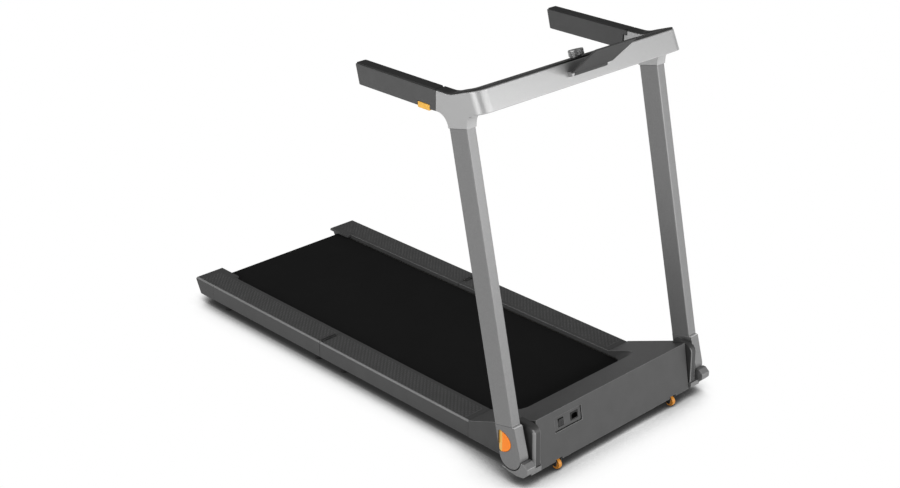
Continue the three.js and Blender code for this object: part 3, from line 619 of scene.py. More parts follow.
# %% Rear end caps
def end_cap(side):
    """A hollow cap whose rear face slants in under its top edge, and its bolt."""
    node = f"rear_end_cap_{side}"
    low, high = box_mm(node)
    front, bottom, top = high.y, low.z, high.z
    profile = [(low.y + 21, bottom, 3), (low.y, top - 7, 3), (low.y + 3, top, 3),
               (front, top), (front, bottom)]
    lip = [(low.y + 1.5, top - 8.5, 1), (low.y + 0.5, top - 6, 2), (low.y + 3, top, 3), (front, top, 0.8),
           (front, top - 8.5, 1)]
    body = slab(profile, "X", RAIL_INNER - 2, RAIL_OUTER, rim=0.6, steps=2)
    over = slab(lip, "X", box_mm("rear_end_cap_right")[0].x, RAIL_INNER + 6, rim=1.0)
    inside = block((RAIL_INNER + 4, low.y + 26, 10), (RAIL_OUTER - 4, front + 6, top - 5))
    slot = block((RAIL_INNER - 8, -690, 10), (RAIL_INNER + 8, -674, 57))
    edge = slab([(RAIL_OUTER - CHAMFER - 1, top + 1), (RAIL_OUTER + 1, top - CHAMFER - 1),
                 (RAIL_OUTER + 8, top + 8)], "Y", low.y - 5, front + 5, rim=0)
    to_rear = Matrix.Translation((274, low.y, 47.2)) @ Matrix.Rotation(math.radians(90), 4, "X")
    recess = moved(loft([ring(9, -17), ring(9, 4)]), to_rear)
    bolt = moved(socket_screw(6.5, 5), Matrix.Translation((0, 15.5, 0)) @ to_rear)
    body, over, inside, slot, edge, recess, bolt = on_side(
        side, body, over, inside, slot, edge, recess, bolt)
    made = piece(node + "_moulding", body, RAIL, "rear_deck", (node,),
                 joins=[over], cuts=[inside, slot, edge, recess])
    # The cap's chamfer takes the lighter finish too: a painted highlight.
    paint_highlight(made, EDGE_HIGHLIGHT, lambda normal, centre: on_chamfer(normal, centre) and abs(centre.x) > RAIL_OUTER - 6)
    piece(f"belt_tension_bolt_{side}", bolt, DARK_STEEL, "rear_deck", ())


for side in SIDES:
    end_cap(side)

# %% [markdown]
# ### Tread pips
#
# The tread is the same small lozenge several hundred times, in staggered rows, which is what
# Geometry Nodes are for. A grid gives the places, every second row is shifted by half a pitch, one
# lozenge is set on each point, and the instances are made real at the end.

# %% One tread pip
def pip_mesh():
    """A raised lozenge, long along the rail, with a flat top."""
    base = [(0, -4.8, -0.2), (1.9, 0, -0.2), (0, 4.8, -0.2), (-1.9, 0, -0.2)]
    rings = [base, [(x * 0.9, y * 0.9, 0.25) for x, y, _ in base],
             [(x * 0.55, y * 0.55, 0.5) for x, y, _ in base]]
    return mesh_of("tread_pip", loft(rings))


pip = bpy.data.objects.new("tread_pip", pip_mesh())
bpy.context.scene.collection.objects.link(pip)
pip.hide_render = True


# %% A node tree that repeats it
def interface(tree, name, kind, default, direction="INPUT"):
    """A named socket on the tree's own edge."""
    made = tree.interface.new_socket(name=name, in_out=direction, socket_type=kind)
    if default is not None:
        made.default_value = default
    return made


def math_node(tree, operation, a, b):
    """One step of arithmetic between two sockets or numbers."""
    return add_node(tree, "ShaderNodeMath", {0: a, 1: b}, operation=operation).outputs[0]


def repeat_tree():
    """Length, width and two pitches give a field of copies, with every second row shifted."""
    tree = bpy.data.node_groups.new("staggered copies", "GeometryNodeTree")
    interface(tree, "Geometry", "NodeSocketGeometry", None, "OUTPUT")
    interface(tree, "Length", "NodeSocketFloat", 0.4)
    interface(tree, "Width", "NodeSocketFloat", 0.06)
    interface(tree, "Pitch Along", "NodeSocketFloat", 0.013)
    interface(tree, "Pitch Across", "NodeSocketFloat", 0.0066)
    interface(tree, "Stagger", "NodeSocketFloat", 0.5)
    interface(tree, "Centre", "NodeSocketVector", (0, 0, 0))
    interface(tree, "Turn", "NodeSocketVector", (0, 0, 0))
    interface(tree, "Copy", "NodeSocketObject", None)
    interface(tree, "Finish", "NodeSocketMaterial", None)
    given = add_node(tree, "NodeGroupInput").outputs
    out = add_node(tree, "NodeGroupOutput")
    counts = [math_node(tree, "ADD", math_node(tree, "DIVIDE", given[size], given[pitch]), 1.01)
              for size, pitch in (("Width", "Pitch Across"), ("Length", "Pitch Along"))]
    grid = add_node(tree, "GeometryNodeMeshGrid",
                    {"Size X": given["Width"], "Size Y": given["Length"],
                     "Vertices X": counts[0], "Vertices Y": counts[1]})
    where = add_node(tree, "GeometryNodeInputPosition")
    parts = add_node(tree, "ShaderNodeSeparateXYZ", {"Vector": where.outputs["Position"]})
    row = math_node(tree, "DIVIDE", parts.outputs["X"], given["Pitch Across"])
    row = math_node(tree, "ADD", row, 100.25)
    odd = math_node(tree, "GREATER_THAN", math_node(tree, "FLOORED_MODULO", row, 2.0), 1.0)
    step = math_node(tree, "MULTIPLY", given["Pitch Along"], given["Stagger"])
    push = math_node(tree, "MULTIPLY", odd, step)
    shift = add_node(tree, "ShaderNodeCombineXYZ", {"Y": push})
    placed = add_node(tree, "GeometryNodeSetPosition",
                      {"Geometry": grid.outputs["Mesh"], "Offset": shift.outputs[0]})
    shape = add_node(tree, "GeometryNodeObjectInfo", {"Object": given["Copy"]})
    copies = add_node(tree, "GeometryNodeInstanceOnPoints",
                      {"Points": placed.outputs["Geometry"], "Instance": shape.outputs["Geometry"]})
    real = add_node(tree, "GeometryNodeRealizeInstances", {"Geometry": copies.outputs["Instances"]})
    turned = add_node(tree, "GeometryNodeTransform",
                      {"Geometry": real.outputs["Geometry"], "Translation": given["Centre"],
                       "Rotation": given["Turn"]})
    coloured = add_node(tree, "GeometryNodeSetMaterial",
                        {"Geometry": turned.outputs["Geometry"], "Material": given["Finish"]})
    tree.links.new(coloured.outputs["Geometry"], out.inputs["Geometry"])
    return tree


def grown(name, tree, values, body, sharp=32):
    """Runs a node tree once, keeps its result as a plain mesh and hands it to the frame."""
    seed = bpy.data.objects.new(name + "_seed", bpy.data.meshes.new(name + "_seed"))
    bpy.context.scene.collection.objects.link(seed)
    step = seed.modifiers.new("tree", "NODES")
    step.node_group = tree
    sockets = {item.name: item.identifier for item in tree.interface.items_tree
               if item.in_out == "INPUT"}
    for key, value in values.items():
        step[sockets[key]] = value
    seen = seed.evaluated_get(bpy.context.evaluated_depsgraph_get())
    mesh = bpy.data.meshes.new_from_object(seen)
    mesh.name = name
    bpy.data.objects.remove(seed)
    return place_mesh(name, mesh, values["Finish"], body, (), sharp)


copies_tree = repeat_tree()

# %% Tread fields
TREAD_IN = 15       # plain border along the belt
TREAD_OUT = 8       # plain border behind the chamfer
PIP_ALONG, PIP_ACROSS = 13, 6.6
tread_wide = RAIL_OUTER - TREAD_OUT - RAIL_INNER - TREAD_IN
tread_mid = RAIL_INNER + TREAD_IN + tread_wide / 2
for side, sign in SIDES.items():
    for part, y0, y1 in (("front", SEAM + 14, KNEE - 30), ("rear", REAR + 30, SEAM - 20)):
        field = grown(f"tread_{part}_{side}", copies_tree, {
            "Length": (y1 - y0) * MM, "Width": tread_wide * MM,
            "Pitch Along": PIP_ALONG * MM, "Pitch Across": PIP_ACROSS * MM,
            "Centre": (sign * tread_mid * MM, (y0 + y1) / 2 * MM, RAIL_TOP * MM),
            "Copy": pip, "Finish": TREAD_PAINTED_LIT,
        }, f"{part}_deck")
        print(field.name, "pips:", len(field.data.polygons) // 10)

# %% [markdown]
# A shallow bar crosses each rail where the tread stops before the hood. It is the lip of the
# cover's end, and it stands half a millimetre proud.

# %% Cross bars
for side in SIDES:
    bar, = on_side(side, slab([(RAIL_INNER + 16, KNEE - 19), (RAIL_OUTER - 7, KNEE - 19),
                               (RAIL_OUTER - 7, KNEE - 16.6), (RAIL_INNER + 16, KNEE - 16.6)],
                              "Z", RAIL_TOP - 0.5, RAIL_TOP + 0.5, rim=0.35, steps=2))
    # The bar takes the same lighter tread finish, a painted highlight.
    piece(f"tread_end_bar_{side}", bar, TREAD_PAINTED_LIT, "front_deck", ())

# %% [markdown]
# ## Hood
#
# The hood is one moulding, and the frame's solid already has its true shape, wells and cut-outs, so
# it is kept and its edges are broken. The same goes for the frames, the pans, the motor and the
# other pieces inside.

# %% Hood, frames and drive
# The hood's broken edges take the lighter finish: a painted highlight.
finished_node("hood_cover", HOOD, edge=1.5, edge_highlight_finish=EDGE_HIGHLIGHT)
for node, finish, edge in (
        ("front_frame", FRAME_COAT, 0.8), ("rear_frame", FRAME_COAT, 0.8),
        ("front_deck_board", BOARD, 1.0), ("rear_deck_board", BOARD, 1.0),
        ("front_belly_pan", PAN, 0.6), ("rear_belly_pan", PAN, 0.6),
        ("drive_motor", FRAME_COAT, 0.8), ("motor_controller", ZINC, 0.4),
        ("motor_pulley", ZINC, 0.4), ("drive_belt", RUBBER, 0.3),
        ("rear_roller", ZINC, 0.6), ("drive_roller", ZINC, 0.6),
        ("inlet_panel", HOOD, 0.4), ("power_inlet", GLOSS_BLACK, 0.3),
        ("power_switch", GLOSS_BLACK, 0.5)):
    finished_node(node, finish, edge)
for side in SIDES:
    finished_node(f"wheel_fork_{side}", FRAME_COAT, 0.4)
    finished_node(f"hinge_leaf_front_{side}", HINGE_STEEL, 0.3)
    finished_node(f"hinge_leaf_rear_{side}", HINGE_STEEL, 0.3)
    finished_node(f"deck_hinge_pin_{side}", ZINC, 0.3)
    finished_node(f"pivot_pin_{side}", ZINC, 0.5)

# %% [markdown]
# ### Fixing screws
#
# Pan-head screws hold the belly pans. They are all the same, so the tree that repeats the pips
# repeats them too, turned over so that their heads look down.

# %% Fixing screws
screw_mesh = mesh_of("pan_screw", loft([ring(3.6, -0.6, 16), ring(3.6, 0.5, 16), ring(2.9, 1.3, 16),
                                        ring(1.2, 1.6, 16), ring(1.2, 0.4, 16)]))
screw = bpy.data.objects.new("pan_screw", screw_mesh)
bpy.context.scene.collection.objects.link(screw)
SCREW_SPAN = 496          # between the two rows of screws
for part in ("front", "rear"):
    low, high = box_mm(f"{part}_belly_pan")
    long = high.y - low.y - 60
    grown(f"pan_screws_{part}", copies_tree, {
        "Length": long * MM, "Width": SCREW_SPAN * MM,
        "Pitch Along": long / 3 * MM, "Pitch Across": SCREW_SPAN * MM, "Stagger": 0.0,
        "Centre": (0, (low.y + high.y) / 2 * MM, 30.2 * MM), "Turn": (math.pi, 0, 0),
        "Copy": screw, "Finish": DARK_STEEL,
    }, f"{part}_deck")

# %% [markdown]
# ## Feet and wheels
#
# The feet are tapered rubber blocks with two grooves that let them bite. The transport wheels are
# cast in amber plastic, with a crowned tread and a hub.

# %% Feet and wheels
def foot_shape(height):
    """A tapered block with two grooves, standing on zero."""
    profile = [(10, 0), (11, 0.6), (11.6, 2), (12.6, 6), (12.2, 6.8), (12.9, 7.6), (13.6, 14),
               (13.2, 14.8), (13.9, 15.6), (15, height)]
    return loft([ring(r, h, 40) for r, h in profile])


def wheel_shape(radius, half):
    """A wheel round Z with a bore, hub, web and crowned tread, as one closed ring."""
    side = [(3.7, half), (radius * 0.45, half), (radius * 0.48, half - 1),
            (radius * 0.78, half - 1), (radius * 0.82, half), (radius - 1.2, half),
            (radius - 0.3, half - 0.9), (radius, half * 0.3)]
    profile = [(r, -h) for r, h in side] + side[::-1]
    return loft([ring(r, h, 48) for r, h in profile], closed=True)


for side in SIDES:
    for part, body in (("rear_foot", "rear_deck"), ("middle_foot_rear", "rear_deck"),
                       ("middle_foot_front", "front_deck")):
        low, high = box_mm(f"{part}_{side}")
        where = Matrix.Translation(((low.x + high.x) / 2, (low.y + high.y) / 2, 0))
        piece(f"{part}_{side}_block", moved(foot_shape(high.z), where), RUBBER, body,
              (f"{part}_{side}",))
    node = f"transport_wheel_{side}"
    low, high = box_mm(node)
    where = Matrix.Translation((low + high) / 2) @ Matrix.Rotation(math.radians(90), 4, "Y")
    wheel = wheel_shape((high.z - low.z) / 2, (high.x - low.x) / 2)
    piece(node + "_tyre", moved(wheel, where), AMBER, node, (node,))

# %% [markdown]
# ## Corner guards and pivot castings
#
# The guard is a tall cover over the frame bracket. Its two front edges are soft, its rear and inner
# edges meet the hood squarely, and its top rolls forward. The casting below cups the round end of
# the boot, and the boot turns in it with a small gap.

# %% Corner guards
GUARD_GAP = 5             # from the frame node's outer side, so that the boot stays clear


def corner_guard(side):
    """The guard as a stack of outlines that draw in towards its rolled top."""
    node = f"corner_guard_{side}"
    low, high = box_mm("corner_guard_right")
    levels = [(low.z, 1.5, 0), (low.z + 1.5, 0, 0), (136, 0, 1.5), (143, 0.4, 3.5), (149, 1.6, 8),
              (153, 4, 14), (high.z, 8, 21)]
    rings = []
    for z, outer, back in levels:
        x1, y1 = high.x - outer - GUARD_GAP, high.y - back
        rings.append([(*p, z) for p in rounded(
            [(low.x, low.y, 0.6), (x1, low.y, 2), (x1, y1, 9), (low.x, y1, 3)], steps=6)])
    shell, = on_side(side, loft(rings))
    made = piece(node + "_shell", shell, GUARD, "front_deck", (node,))
    # The soft front edges take the lighter finish: a painted highlight.
    paint_highlight(made, EDGE_HIGHLIGHT, lambda normal, centre: (
        0.35 < normal.y < 0.93 and abs(normal.x) > 0.35 and centre.z < 146))


# %% Pivot castings
PIVOT = Vector(joints["handle_fold"]["pos_m"]).yz / MM
BOOT_IN, BOOT_OUT = box_mm("boot_right")[0].x, box_mm("boot_right")[1].x
BOOT_R = 36
CUP_R = BOOT_R + 2.5      # the casting's hollow, round the boot with a gap
turn_to_x = Matrix.Rotation(math.radians(90), 4, "Y")


def pivot_casting(side):
    """The cup under the boot, with its sole and toe against the floor of the frame."""
    node = f"pivot_casting_{side}"
    cup = slab([(636, 40, 0.8), (639, 36, 2.5), (662, 31, 20), (687, 29.5, 20), (709, 33, 12), (723, 48, 7),
                (723, 62, 4), (710, 73, 3), (697, 73), (647, 39.5)],
               "X", BOOT_IN - 1, BOOT_OUT, rim=2.0, steps=4)
    room = moved(loft([ring(CUP_R, -40, 96), ring(CUP_R, 40, 96)]),
                 Matrix.Translation((345, *PIVOT)) @ turn_to_x)
    sole = block((298, 645, 30), (334, 711, 32.6), rim=0.6)
    toe = block((298, 669, 30), (334, 711, 44), rim=0.8)
    cup, room, sole, toe = on_side(side, cup, room, sole, toe)
    piece(node + "_cup", cup, CAST, "front_deck", (node,),
          joins=[sole, toe], cuts=[room])


for side in SIDES:
    corner_guard(side)
    pivot_casting(side)

# %% [markdown]
# ## Handle frame
#
# Both posts lean back by twelve and a half degrees. A post is a drawn tube with soft corners, so it is a
# rounded rectangle carried along the lean, with a real wall. The boot at its foot is a casting that is a
# little deeper than the post, which leaves a ledge at the front; the ledge's top is painted near white, a
# painted highlight.

# %% Post coordinates
LEAN = math.radians(12.54)
FOOT = Vector((609.6, 147.5))          # rear lower corner of the post, y and z
DEEP, TALL = 60.5, 752.0
POST_CORNER, POST_WALL = 3.4, 2.0
ACROSS = Vector((math.cos(LEAN), math.sin(LEAN)))
UP = Vector((-math.sin(LEAN), math.cos(LEAN)))


def on_post(forward, height):
    """A place on the post: forward across its depth, then up along its lean."""
    return FOOT + ACROSS * forward + UP * height


# %% Posts
def upright(side):
    """One post, as a tube with a real wall."""
    node = f"upright_{side}"
    outer = [(BOOT_IN, 0), (BOOT_OUT, 0), (BOOT_OUT, DEEP), (BOOT_IN, DEEP)]
    rings = []
    for drawn, height in ((0, 0.6), (0, TALL), (POST_WALL, TALL), (POST_WALL, 0.6)):
        section = rounded(outer, POST_CORNER, steps=6, drawn=drawn)
        rings.append([(p.x, *on_post(p.y, height)) for p in section])
    tube, = on_side(side, loft(rings, closed=True))
    piece(node + "_tube", tube, POST, "handle_frame", (node,))


# %% [markdown]
# The boot's outline is a round end about the pivot, drawn out by two tangents to the post. Its button is a
# D that sits in a recess, and its flat side is cut back at a slant for a fingertip. The slanted facet is
# painted yellow, a painted highlight on the orange.

# %% Boots and their release buttons
LEDGE = 7.0


def tangent(point, side):
    """The angle at which a line from the point touches the boot's round end."""
    away = point - PIVOT
    return math.atan2(away.y, away.x) + side * math.acos(BOOT_R / away.length)


def d_outline(grow):
    """A D with its flat side to the rear, larger all round by grow."""
    rear, mid, z, half = 622 - grow, 626, 108, 29 + grow
    curve = [(mid + (39.2 + grow) * math.cos(t), z + half * math.sin(t))
             for t in [-math.pi / 2 + math.pi * i / 24 for i in range(25)]]
    return curve + [(rear, z + half - 4), (rear, z - half + 4)]


def boot(side):
    """The casting at the foot of a post, with a recess for its button."""
    node = f"boot_{side}"
    rear, top = on_post(0, 0), on_post(DEEP - 1, 0)
    front = on_post(DEEP + LEDGE, -3.0)
    start, end = tangent(rear, 1), tangent(front, -1) + math.tau
    arc = [PIVOT + BOOT_R * Vector((math.cos(t), math.sin(t)))
           for t in [start + (end - start) * i / 28 for i in range(29)]]
    outline = [rear, *arc, (*front, 1.6), (*on_post(DEEP + LEDGE - 2.5, -1.2), 1.2), top]
    casting, recess = on_side(side, slab(outline, "X", BOOT_IN, BOOT_OUT, rim=2.4, steps=4),
                              slab(d_outline(1.0), "X", 344, 380, rim=0.3))
    made = piece(node + "_casting", casting, BOOT, "handle_frame", (node,),
                 cuts=[recess])
    # The ledge's top faces take the near-white finish: a painted highlight.
    paint_highlight(made, LEDGE_HIGHLIGHT, lambda normal, centre: (
        normal.z > 0.8 and centre.y > front.x - LEDGE - 8 and centre.z > 130))


def boot_release(side):
    """The D-shaped button, its flat side cut back at a slant."""
    node = f"boot_release_{side}"
    low, high = box_mm("boot_release_right")
    slant = slab([(high.x + 2, 642.5), (high.x - 6.5, 621), (high.x - 6, 617), (high.x + 12, 617)],
                 "Z", 60, 156, rim=0)
    button, slant = on_side(side, slab(d_outline(0), "X", low.x, high.x, rim=1.8, steps=4), slant)
    made = piece(node + "_button", button, ORANGE, node, (node,),
                 cuts=[slant], sharp=20)
    # The slanted facet is painted yellow: a painted highlight.
    paint_highlight(made, YELLOW_AND_FACET_HIGHLIGHT, lambda normal, centre: normal.y < -0.2 and abs(normal.x) > 0.6)


for side in SIDES:
    upright(side)
    boot(side)
    boot_release(side)

# %% [markdown]
# ### Handlebar
#
# The bar is a U in plan that sweeps up towards its front, where its face leans back. It is drawn
# level first, as a rounded section carried round the U, and then every point is moved by the same
# rule that lifts and leans it. The shoulders that take the posts are joined on with a boolean, so
# that side and shoulder are one face.

# %% Handlebar rule
BAR_OUTER, BAR_WIDE, BAR_DEEP, BAR_CORNER = 364.0, 34.0, 42.0, 30.0
BAR_START, BAR_FRONT, BAR_BOTTOM, BAR_TOP = 401.4, 553.0, 913.5, 969.0
SWEEP_START, SWEEP_END, SWEEP_SLOPE, SWEEP_LEAN = 433.0, 483.0, 0.3537, 0.457
COVER = 3.4


def swept(point):
    """Lifts and leans a level point of the handlebar."""
    x, y, z = point
    run = SWEEP_END - SWEEP_START
    u = min(1.0, max(0.0, (y - SWEEP_START) / run))
    rise = SWEEP_SLOPE * (run * u * u / 2 + max(0.0, y - SWEEP_END))
    return x, y - SWEEP_LEAN * u * (z - (BAR_BOTTOM + BAR_TOP) / 2), z + rise


def u_path(half, front, corner):
    """The right half of a U in plan: its leg, then its bend."""
    leg = [Vector((half, BAR_START + (front - corner - BAR_START) * i / 14)) for i in range(14)]
    bend = [Vector((half - corner + corner * math.cos(t), front - corner + corner * math.sin(t)))
            for t in [math.pi / 2 * i / 16 for i in range(17)]]
    return leg + bend


def u_bar(inward, z0, z1, radius, end_rim):
    """A rounded bar that follows the U, drawn in by inward, between two heights."""
    outer = u_path(BAR_OUTER - inward, BAR_FRONT - inward, BAR_CORNER - inward)
    inner = u_path(BAR_OUTER - BAR_WIDE + inward, BAR_FRONT - BAR_DEEP + inward, 12)
    half = list(zip(outer, inner))
    stations = half + [(Vector((-a.x, a.y)), Vector((-b.x, b.y))) for a, b in reversed(half)]

    def section(a, b, drawn, back):
        """The bar's section at one station, drawn in and set back for the end rims."""
        width = (b - a).length
        corners = [(0, z0), (width, z0), (width, z1), (0, z1)]
        shift = Vector((0, back))
        return [(*(a + (b - a) * p.x / width + shift), p.y)
                for p in rounded(corners, radius, 4, drawn)]

    rings = [section(*stations[0], end_rim, 0), section(*stations[0], 0, end_rim)]
    rings += [section(*station, 0, 0) for station in stations[1:-1]]
    rings += [section(*stations[-1], 0, end_rim), section(*stations[-1], end_rim, 0)]
    verts, faces = loft(rings)
    return [swept(v) for v in verts], faces


# %% Shoulders and lugs
ARM_PIN = Vector((337.0, 393.6))
ARM_PIN_HIGH = 941.5
REST_PIVOT = Vector(joints["tablet_tilt"]["pos_m"]).yz / MM


def bent(a, b, c, steps):
    """A curve from a to c that is drawn towards b."""
    return [a * (1 - t) ** 2 + b * 2 * t * (1 - t) + c * t * t
            for t in [i / steps for i in range(steps + 1)]]


def shoulder():
    """The gusset from the post up into the leg, flush with the leg's outer side."""
    rear, front = on_post(-2, TALL + 0.4), on_post(DEEP + 2, TALL + 0.4)
    curve = bent(Vector((405, 914.5)), Vector((rear.x - 12, 912.5)),
                 Vector((rear.x - 2, rear.y + 8)), 12)
    fillet = bent(Vector((front.x, front.y + 7)), Vector((front.x + 1, 929)),
                  Vector((front.x + 17, 931)), 8)
    outline = [rear, front, *fillet, (front.x + 17, 938), (405, 935), *curve]
    return slab(outline, "X", BOOT_IN - 1.5, BAR_OUTER, rim=2.0, steps=3)


def arm_lug():
    """The tab and pin that an armrest swings on."""
    tab = slab([(331, 387.8, 5.8), (343, 387.8, 5.8), (343, 407, 1), (331, 407, 1)],
               "Z", 930.5, 952.5, rim=0.5)
    pin = moved(loft([ring(3, -22.5, 24), ring(3, 22.5, 24)]),
                Matrix.Translation((*ARM_PIN, ARM_PIN_HIGH)))
    return [tab, pin]


def rest_lug():
    """The knuckle and stub that the tablet rest tilts on."""
    y, z = REST_PIVOT
    here = Matrix.Translation((64.5, y, z)) @ turn_to_x
    barrel = moved(loft([ring(5.6, -4), ring(6, -3.4), ring(6, 3.4), ring(5.6, 4)]), here)
    neck = slab([(y - 14, z + 3), (y + 2, z + 5.6), (y + 1, z - 5.9), (y - 12, z - 9)],
                "X", 60.6, 68.4, rim=0.4)
    stub = moved(loft([ring(2.4, -12, 20), ring(2.4, 0, 20)]), here)
    return [barrel, neck, stub]


half_joins = [shoulder(), *arm_lug(), *rest_lug()]
all_joins = half_joins + [mirrored(shape) for shape in half_joins]
piece("handlebar_shell", u_bar(0, BAR_BOTTOM, BAR_TOP - COVER - 0.2, 2.6, 1.2), SHELL,
      "handle_frame", ("handlebar",), joins=all_joins, sharp=30)
piece("handlebar_strip", u_bar(1.4, BAR_TOP - COVER, BAR_TOP, 1.0, 0.5), PAD, "handle_frame",
      ("handlebar_top_cover",))

# %% [markdown]
# ### Speed knob and tablet rest
#
# The knob is turned aluminium with a fluted side, so its outline is spun with a ripple on the
# radius. The rest is a thin plate with two rubber lines that stop a tablet from slipping.

# %% Speed knob
knob_axis = Vector(joints["speed_knob_turn"]["axis"]).normalized()
knob_at = Vector(joints["speed_knob_turn"]["pos_m"]) / MM
knob_lean = Vector((0, 0, 1)).rotation_difference(knob_axis)
on_knob = Matrix.Translation(knob_at) @ knob_lean.to_matrix().to_4x4()
KNOB_R, KNOB_HIGH = 19.5, 19.0


def fluted(radius, height, deep):
    """A ring of 160 points whose radius dips 40 times."""
    return [(r * math.cos(t), r * math.sin(t), height)
            for r, t in [(radius - deep * (i % 4 < 2), math.tau * i / 160) for i in range(160)]]


KNOB_PROFILE = [
    (KNOB_R - 2.5, 0.6, 0), (KNOB_R - 2, 1, 0), (KNOB_R - 2, 3, 0), (KNOB_R - 0.4, 3.6, 0),
    (KNOB_R, 4, 0), (KNOB_R, 4.6, 0.7), (KNOB_R, KNOB_HIGH - 4, 0.7), (KNOB_R, KNOB_HIGH - 3.4, 0),
    (KNOB_R - 0.3, KNOB_HIGH - 1.2, 0), (KNOB_R - 1.4, KNOB_HIGH, 0), (KNOB_R - 3.4, KNOB_HIGH, 0),
    (KNOB_R - 4.2, KNOB_HIGH - 0.8, 0)]
piece("speed_knob_turned", moved(loft([fluted(*p) for p in KNOB_PROFILE]), on_knob), KNOB,
      "speed_knob", ("speed_knob",))
mark = slab([(-1, 8), (1, 8), (1, 14), (-1, 14)], "Z", KNOB_HIGH - 1.4, KNOB_HIGH - 0.5,
            rim=0.1, radius=0.9)
piece("speed_knob_mark", moved(mark, on_knob), ORANGE, "speed_knob", ())

# %% Tablet rest
REST_HALF, REST_REACH, REST_THICK = 75.0, 112.0, 5.0


def on_rest(shape):
    """Sets a shape drawn flat, x across and y away from the pivot, on the rest's lean."""
    lean = Matrix.Rotation(math.radians(45), 4, "X")
    return moved(shape, Matrix.Translation((0, *REST_PIVOT)) @ lean)


plate = slab([(-REST_HALF, 9.5, 2), (REST_HALF, 9.5, 2), (REST_HALF, REST_REACH, 6),
              (-REST_HALF, REST_REACH, 6)], "Z", -REST_THICK / 2, REST_THICK / 2, rim=1.4, steps=4)
neck = slab([(-58, 1), (58, 1), (58, 14), (-58, 14)], "Z", -2.4, 2.4, rim=0.4)
barrel = moved(loft([ring(5.4, -59.5), ring(6, -58.8), ring(6, 58.8), ring(5.4, 59.5)]), turn_to_x)
piece("tablet_rest_plate", on_rest(plate), GRIP, "tablet_rest", ("tablet_rest",),
      joins=[on_rest(neck), on_rest(barrel)])
lines = [slab([(-60, y), (60, y), (60, y + 3), (-60, y + 3)], "Z", 2.3, 3.1, rim=0.3, radius=1.4)
         for y in (20, 92)]
piece("tablet_rest_rubbers", on_rest(both(*lines)), RUBBER, "tablet_rest", ())

# %% [markdown]
# ## Armrests
#
# Each armrest is a straight moulding with a slanted tip, hung on a pin at the end of the handlebar
# so that it swings in behind it. A soft strip lies along its top, and its release sits under it.

# %% Armrests
def armrest(side):
    """The moulding, its heel round the pin, and the soft strip along its top."""
    node = f"armrest_{side}"
    low, high = box_mm("armrest_right")
    inner, heel_x, heel_y = low.x, ARM_PIN.x, ARM_PIN.y
    deck = high.z - 3.2
    body = slab([(113, deck, 2.4), (126.6, low.z, 4), (400.6, low.z, 2.2), (400.6, deck, 2.2)],
                "X", inner, BAR_OUTER, rim=2.0, steps=4)
    corner = block((inner - 5, heel_y, 900), (heel_x, 406, 990))
    heel = moved(loft([ring(5.4, low.z, 48), ring(7, low.z + 1.6, 48),
                       ring(7, deck - 1.6, 48), ring(5.4, deck, 48)]),
                 Matrix.Translation((heel_x, heel_y, 0)))
    slot = block((inner - 5, heel_y - 7, 930), (heel_x + 7, 406, 953))
    notch = block((344.4, 338.4, 899), (372, 381.6, 925.6))
    bore = moved(loft([ring(3.5, -22.9, 24), ring(3.5, 22.9, 24)]),
                 Matrix.Translation((heel_x, heel_y, ARM_PIN_HIGH)))
    top = slab([(inner + 1.6, 116, 3), (BAR_OUTER - 1.6, 116, 3), (BAR_OUTER - 1.6, 399.4, 1),
                (heel_x, 399.4, 1), (inner + 1.6, 393, 4)], "Z", deck - 0.6, high.z, rim=0.9)
    body, corner, heel, slot, notch, bore, top = on_side(
        side, body, corner, heel, slot, notch, bore, top)
    piece(node + "_moulding", body, ARM, node, (node,),
          cuts=[corner, slot, notch, bore])
    piece(node + "_heel", heel, ARM, node, (), cuts=[slot, bore])
    piece(node + "_top_strip", top, PAD, node, ())


def armrest_release(side):
    """The button under the armrest that frees its swing."""
    node = f"armrest_release_{side}"
    low, high = box_mm("armrest_release_right")
    outline = [(low.y, low.z, 3), (high.y, low.z, 3), (high.y, high.z, 1.4), (low.y, high.z, 1.4)]
    button, = on_side(side, slab(outline, "X", low.x, high.x, rim=1.2, steps=3))
    piece(node + "_button", button, YELLOW_AND_FACET_HIGHLIGHT, node, (node,))


for side in SIDES:
    armrest(side)
    armrest_release(side)

# %% [markdown]
# ## Floor and light
#
# A broad soft panel in front and a smaller one on the right light the faces that look forward and outward,
# and leave the flat tops darker. The floor is white, and its white is painted darker where the machine
# stands close over it: a painted shadow that stands in for the shadow that soft light from all round
# leaves.

# %% Floor
def floor_finish():
    """White to the eye, with a painted shadow where the machine stands close, and plain to every other ray.
    """
    made = bpy.data.materials.new("studio floor, matt white")
    made.use_nodes = True
    tree = made.node_tree
    tree.nodes.clear()
    ray = add_node(tree, "ShaderNodeLightPath").outputs
    seen = math_node(tree, "MAXIMUM", ray["Is Camera Ray"], ray["Is Glossy Ray"])
    seen = math_node(tree, "MAXIMUM", seen, ray["Is Transmission Ray"])
    plain = add_node(tree, "ShaderNodeBsdfDiffuse", {"Color": (0.8, 0.8, 0.8, 1)})
    # An occlusion test darkens the floor's glowing white: a painted shadow where the machine stands close.
    open_sky = add_node(tree, "ShaderNodeAmbientOcclusion", {"Distance": 0.2}, samples=16)
    shade = add_node(tree, "ShaderNodeValToRGB", {"Fac": open_sky.outputs["AO"]})
    shade.color_ramp.elements[0].color = (0.018, 0.018, 0.018, 1)
    shade.color_ramp.elements[1].position = 0.8
    shade.color_ramp.elements[1].color = (1, 1, 1, 1)
    for place, level in ((0.28, 0.03), (0.44, 0.1), (0.56, 0.35), (0.68, 0.8)):
        shade.color_ramp.elements.new(place).color = (level, level, level, 1)
    bright = add_node(tree, "ShaderNodeEmission", {"Color": shade.outputs["Color"], "Strength": 1.0})
    mixed = add_node(tree, "ShaderNodeMixShader", {0: seen, 1: plain.outputs[0], 2: bright.outputs[0]})
    out = add_node(tree, "ShaderNodeOutputMaterial")
    tree.links.new(mixed.outputs[0], out.inputs["Surface"])
    return made


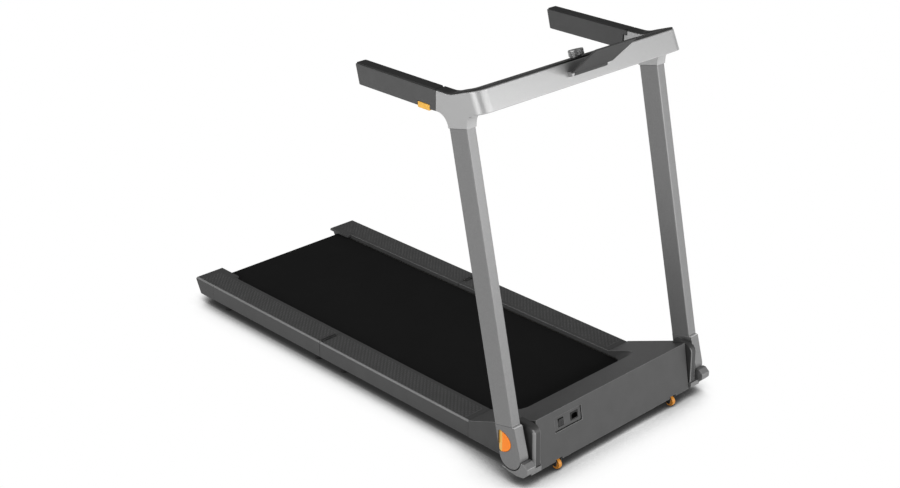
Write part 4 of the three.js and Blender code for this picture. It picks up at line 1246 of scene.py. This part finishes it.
floor_mesh = bpy.data.meshes.new("floor")
floor_mesh.from_pydata([(-30, -30, 0), (30, -30, 0), (30, 30, 0), (-30, 30, 0)], [], [(0, 1, 2, 3)])
floor = bpy.data.objects.new("floor", floor_mesh)
floor_mesh.materials.append(floor_finish())
bpy.context.scene.collection.objects.link(floor)

# %% World and lamps
world = bpy.data.worlds.new("studio")
world.use_nodes = True
bpy.context.scene.world = world
tree = world.node_tree
tree.nodes.clear()
ray = add_node(tree, "ShaderNodeLightPath").outputs
ambient = add_node(tree, "ShaderNodeBackground", {"Color": (1, 1, 1, 1), "Strength": 0.2})
mirror = add_node(tree, "ShaderNodeBackground", {"Color": (1, 1, 1, 1), "Strength": 0.35})
white = add_node(tree, "ShaderNodeBackground", {"Color": (1, 1, 1, 1), "Strength": 1.0})
first = add_node(tree, "ShaderNodeMixShader",
                 {0: ray["Is Glossy Ray"], 1: ambient.outputs[0], 2: mirror.outputs[0]})
second = add_node(tree, "ShaderNodeMixShader",
                  {0: ray["Is Camera Ray"], 1: first.outputs[0], 2: white.outputs[0]})
tree.links.new(second.outputs[0], add_node(tree, "ShaderNodeOutputWorld").inputs["Surface"])


def panel(name, place, target, wide, high, power):
    """A soft rectangular lamp that faces a point."""
    lamp = bpy.data.lights.new(name, "AREA")
    lamp.shape, lamp.size, lamp.size_y, lamp.energy = "RECTANGLE", wide, high, power
    made = bpy.data.objects.new(name, lamp)
    made.location = place
    made.rotation_euler = (Vector(target) - Vector(place)).to_track_quat("-Z", "Y").to_euler()
    bpy.context.scene.collection.objects.link(made)


panel("front panel", (-0.3, 4.2, 1.3), (0, 0.3, 0.5), 6.0, 2.4, 235)
panel("right panel", (4.2, -0.4, 1.3), (0, 0, 0.4), 4.0, 2.2, 112)
panel("rear strip", (2.2, -2.9, 2.8), (0.3, 0, 0.1), 3.0, 0.5, 26)
bpy.context.scene.view_settings.view_transform = "Standard"

# %% Remove the helper shapes
bpy.data.objects.remove(pip)
bpy.data.objects.remove(screw)
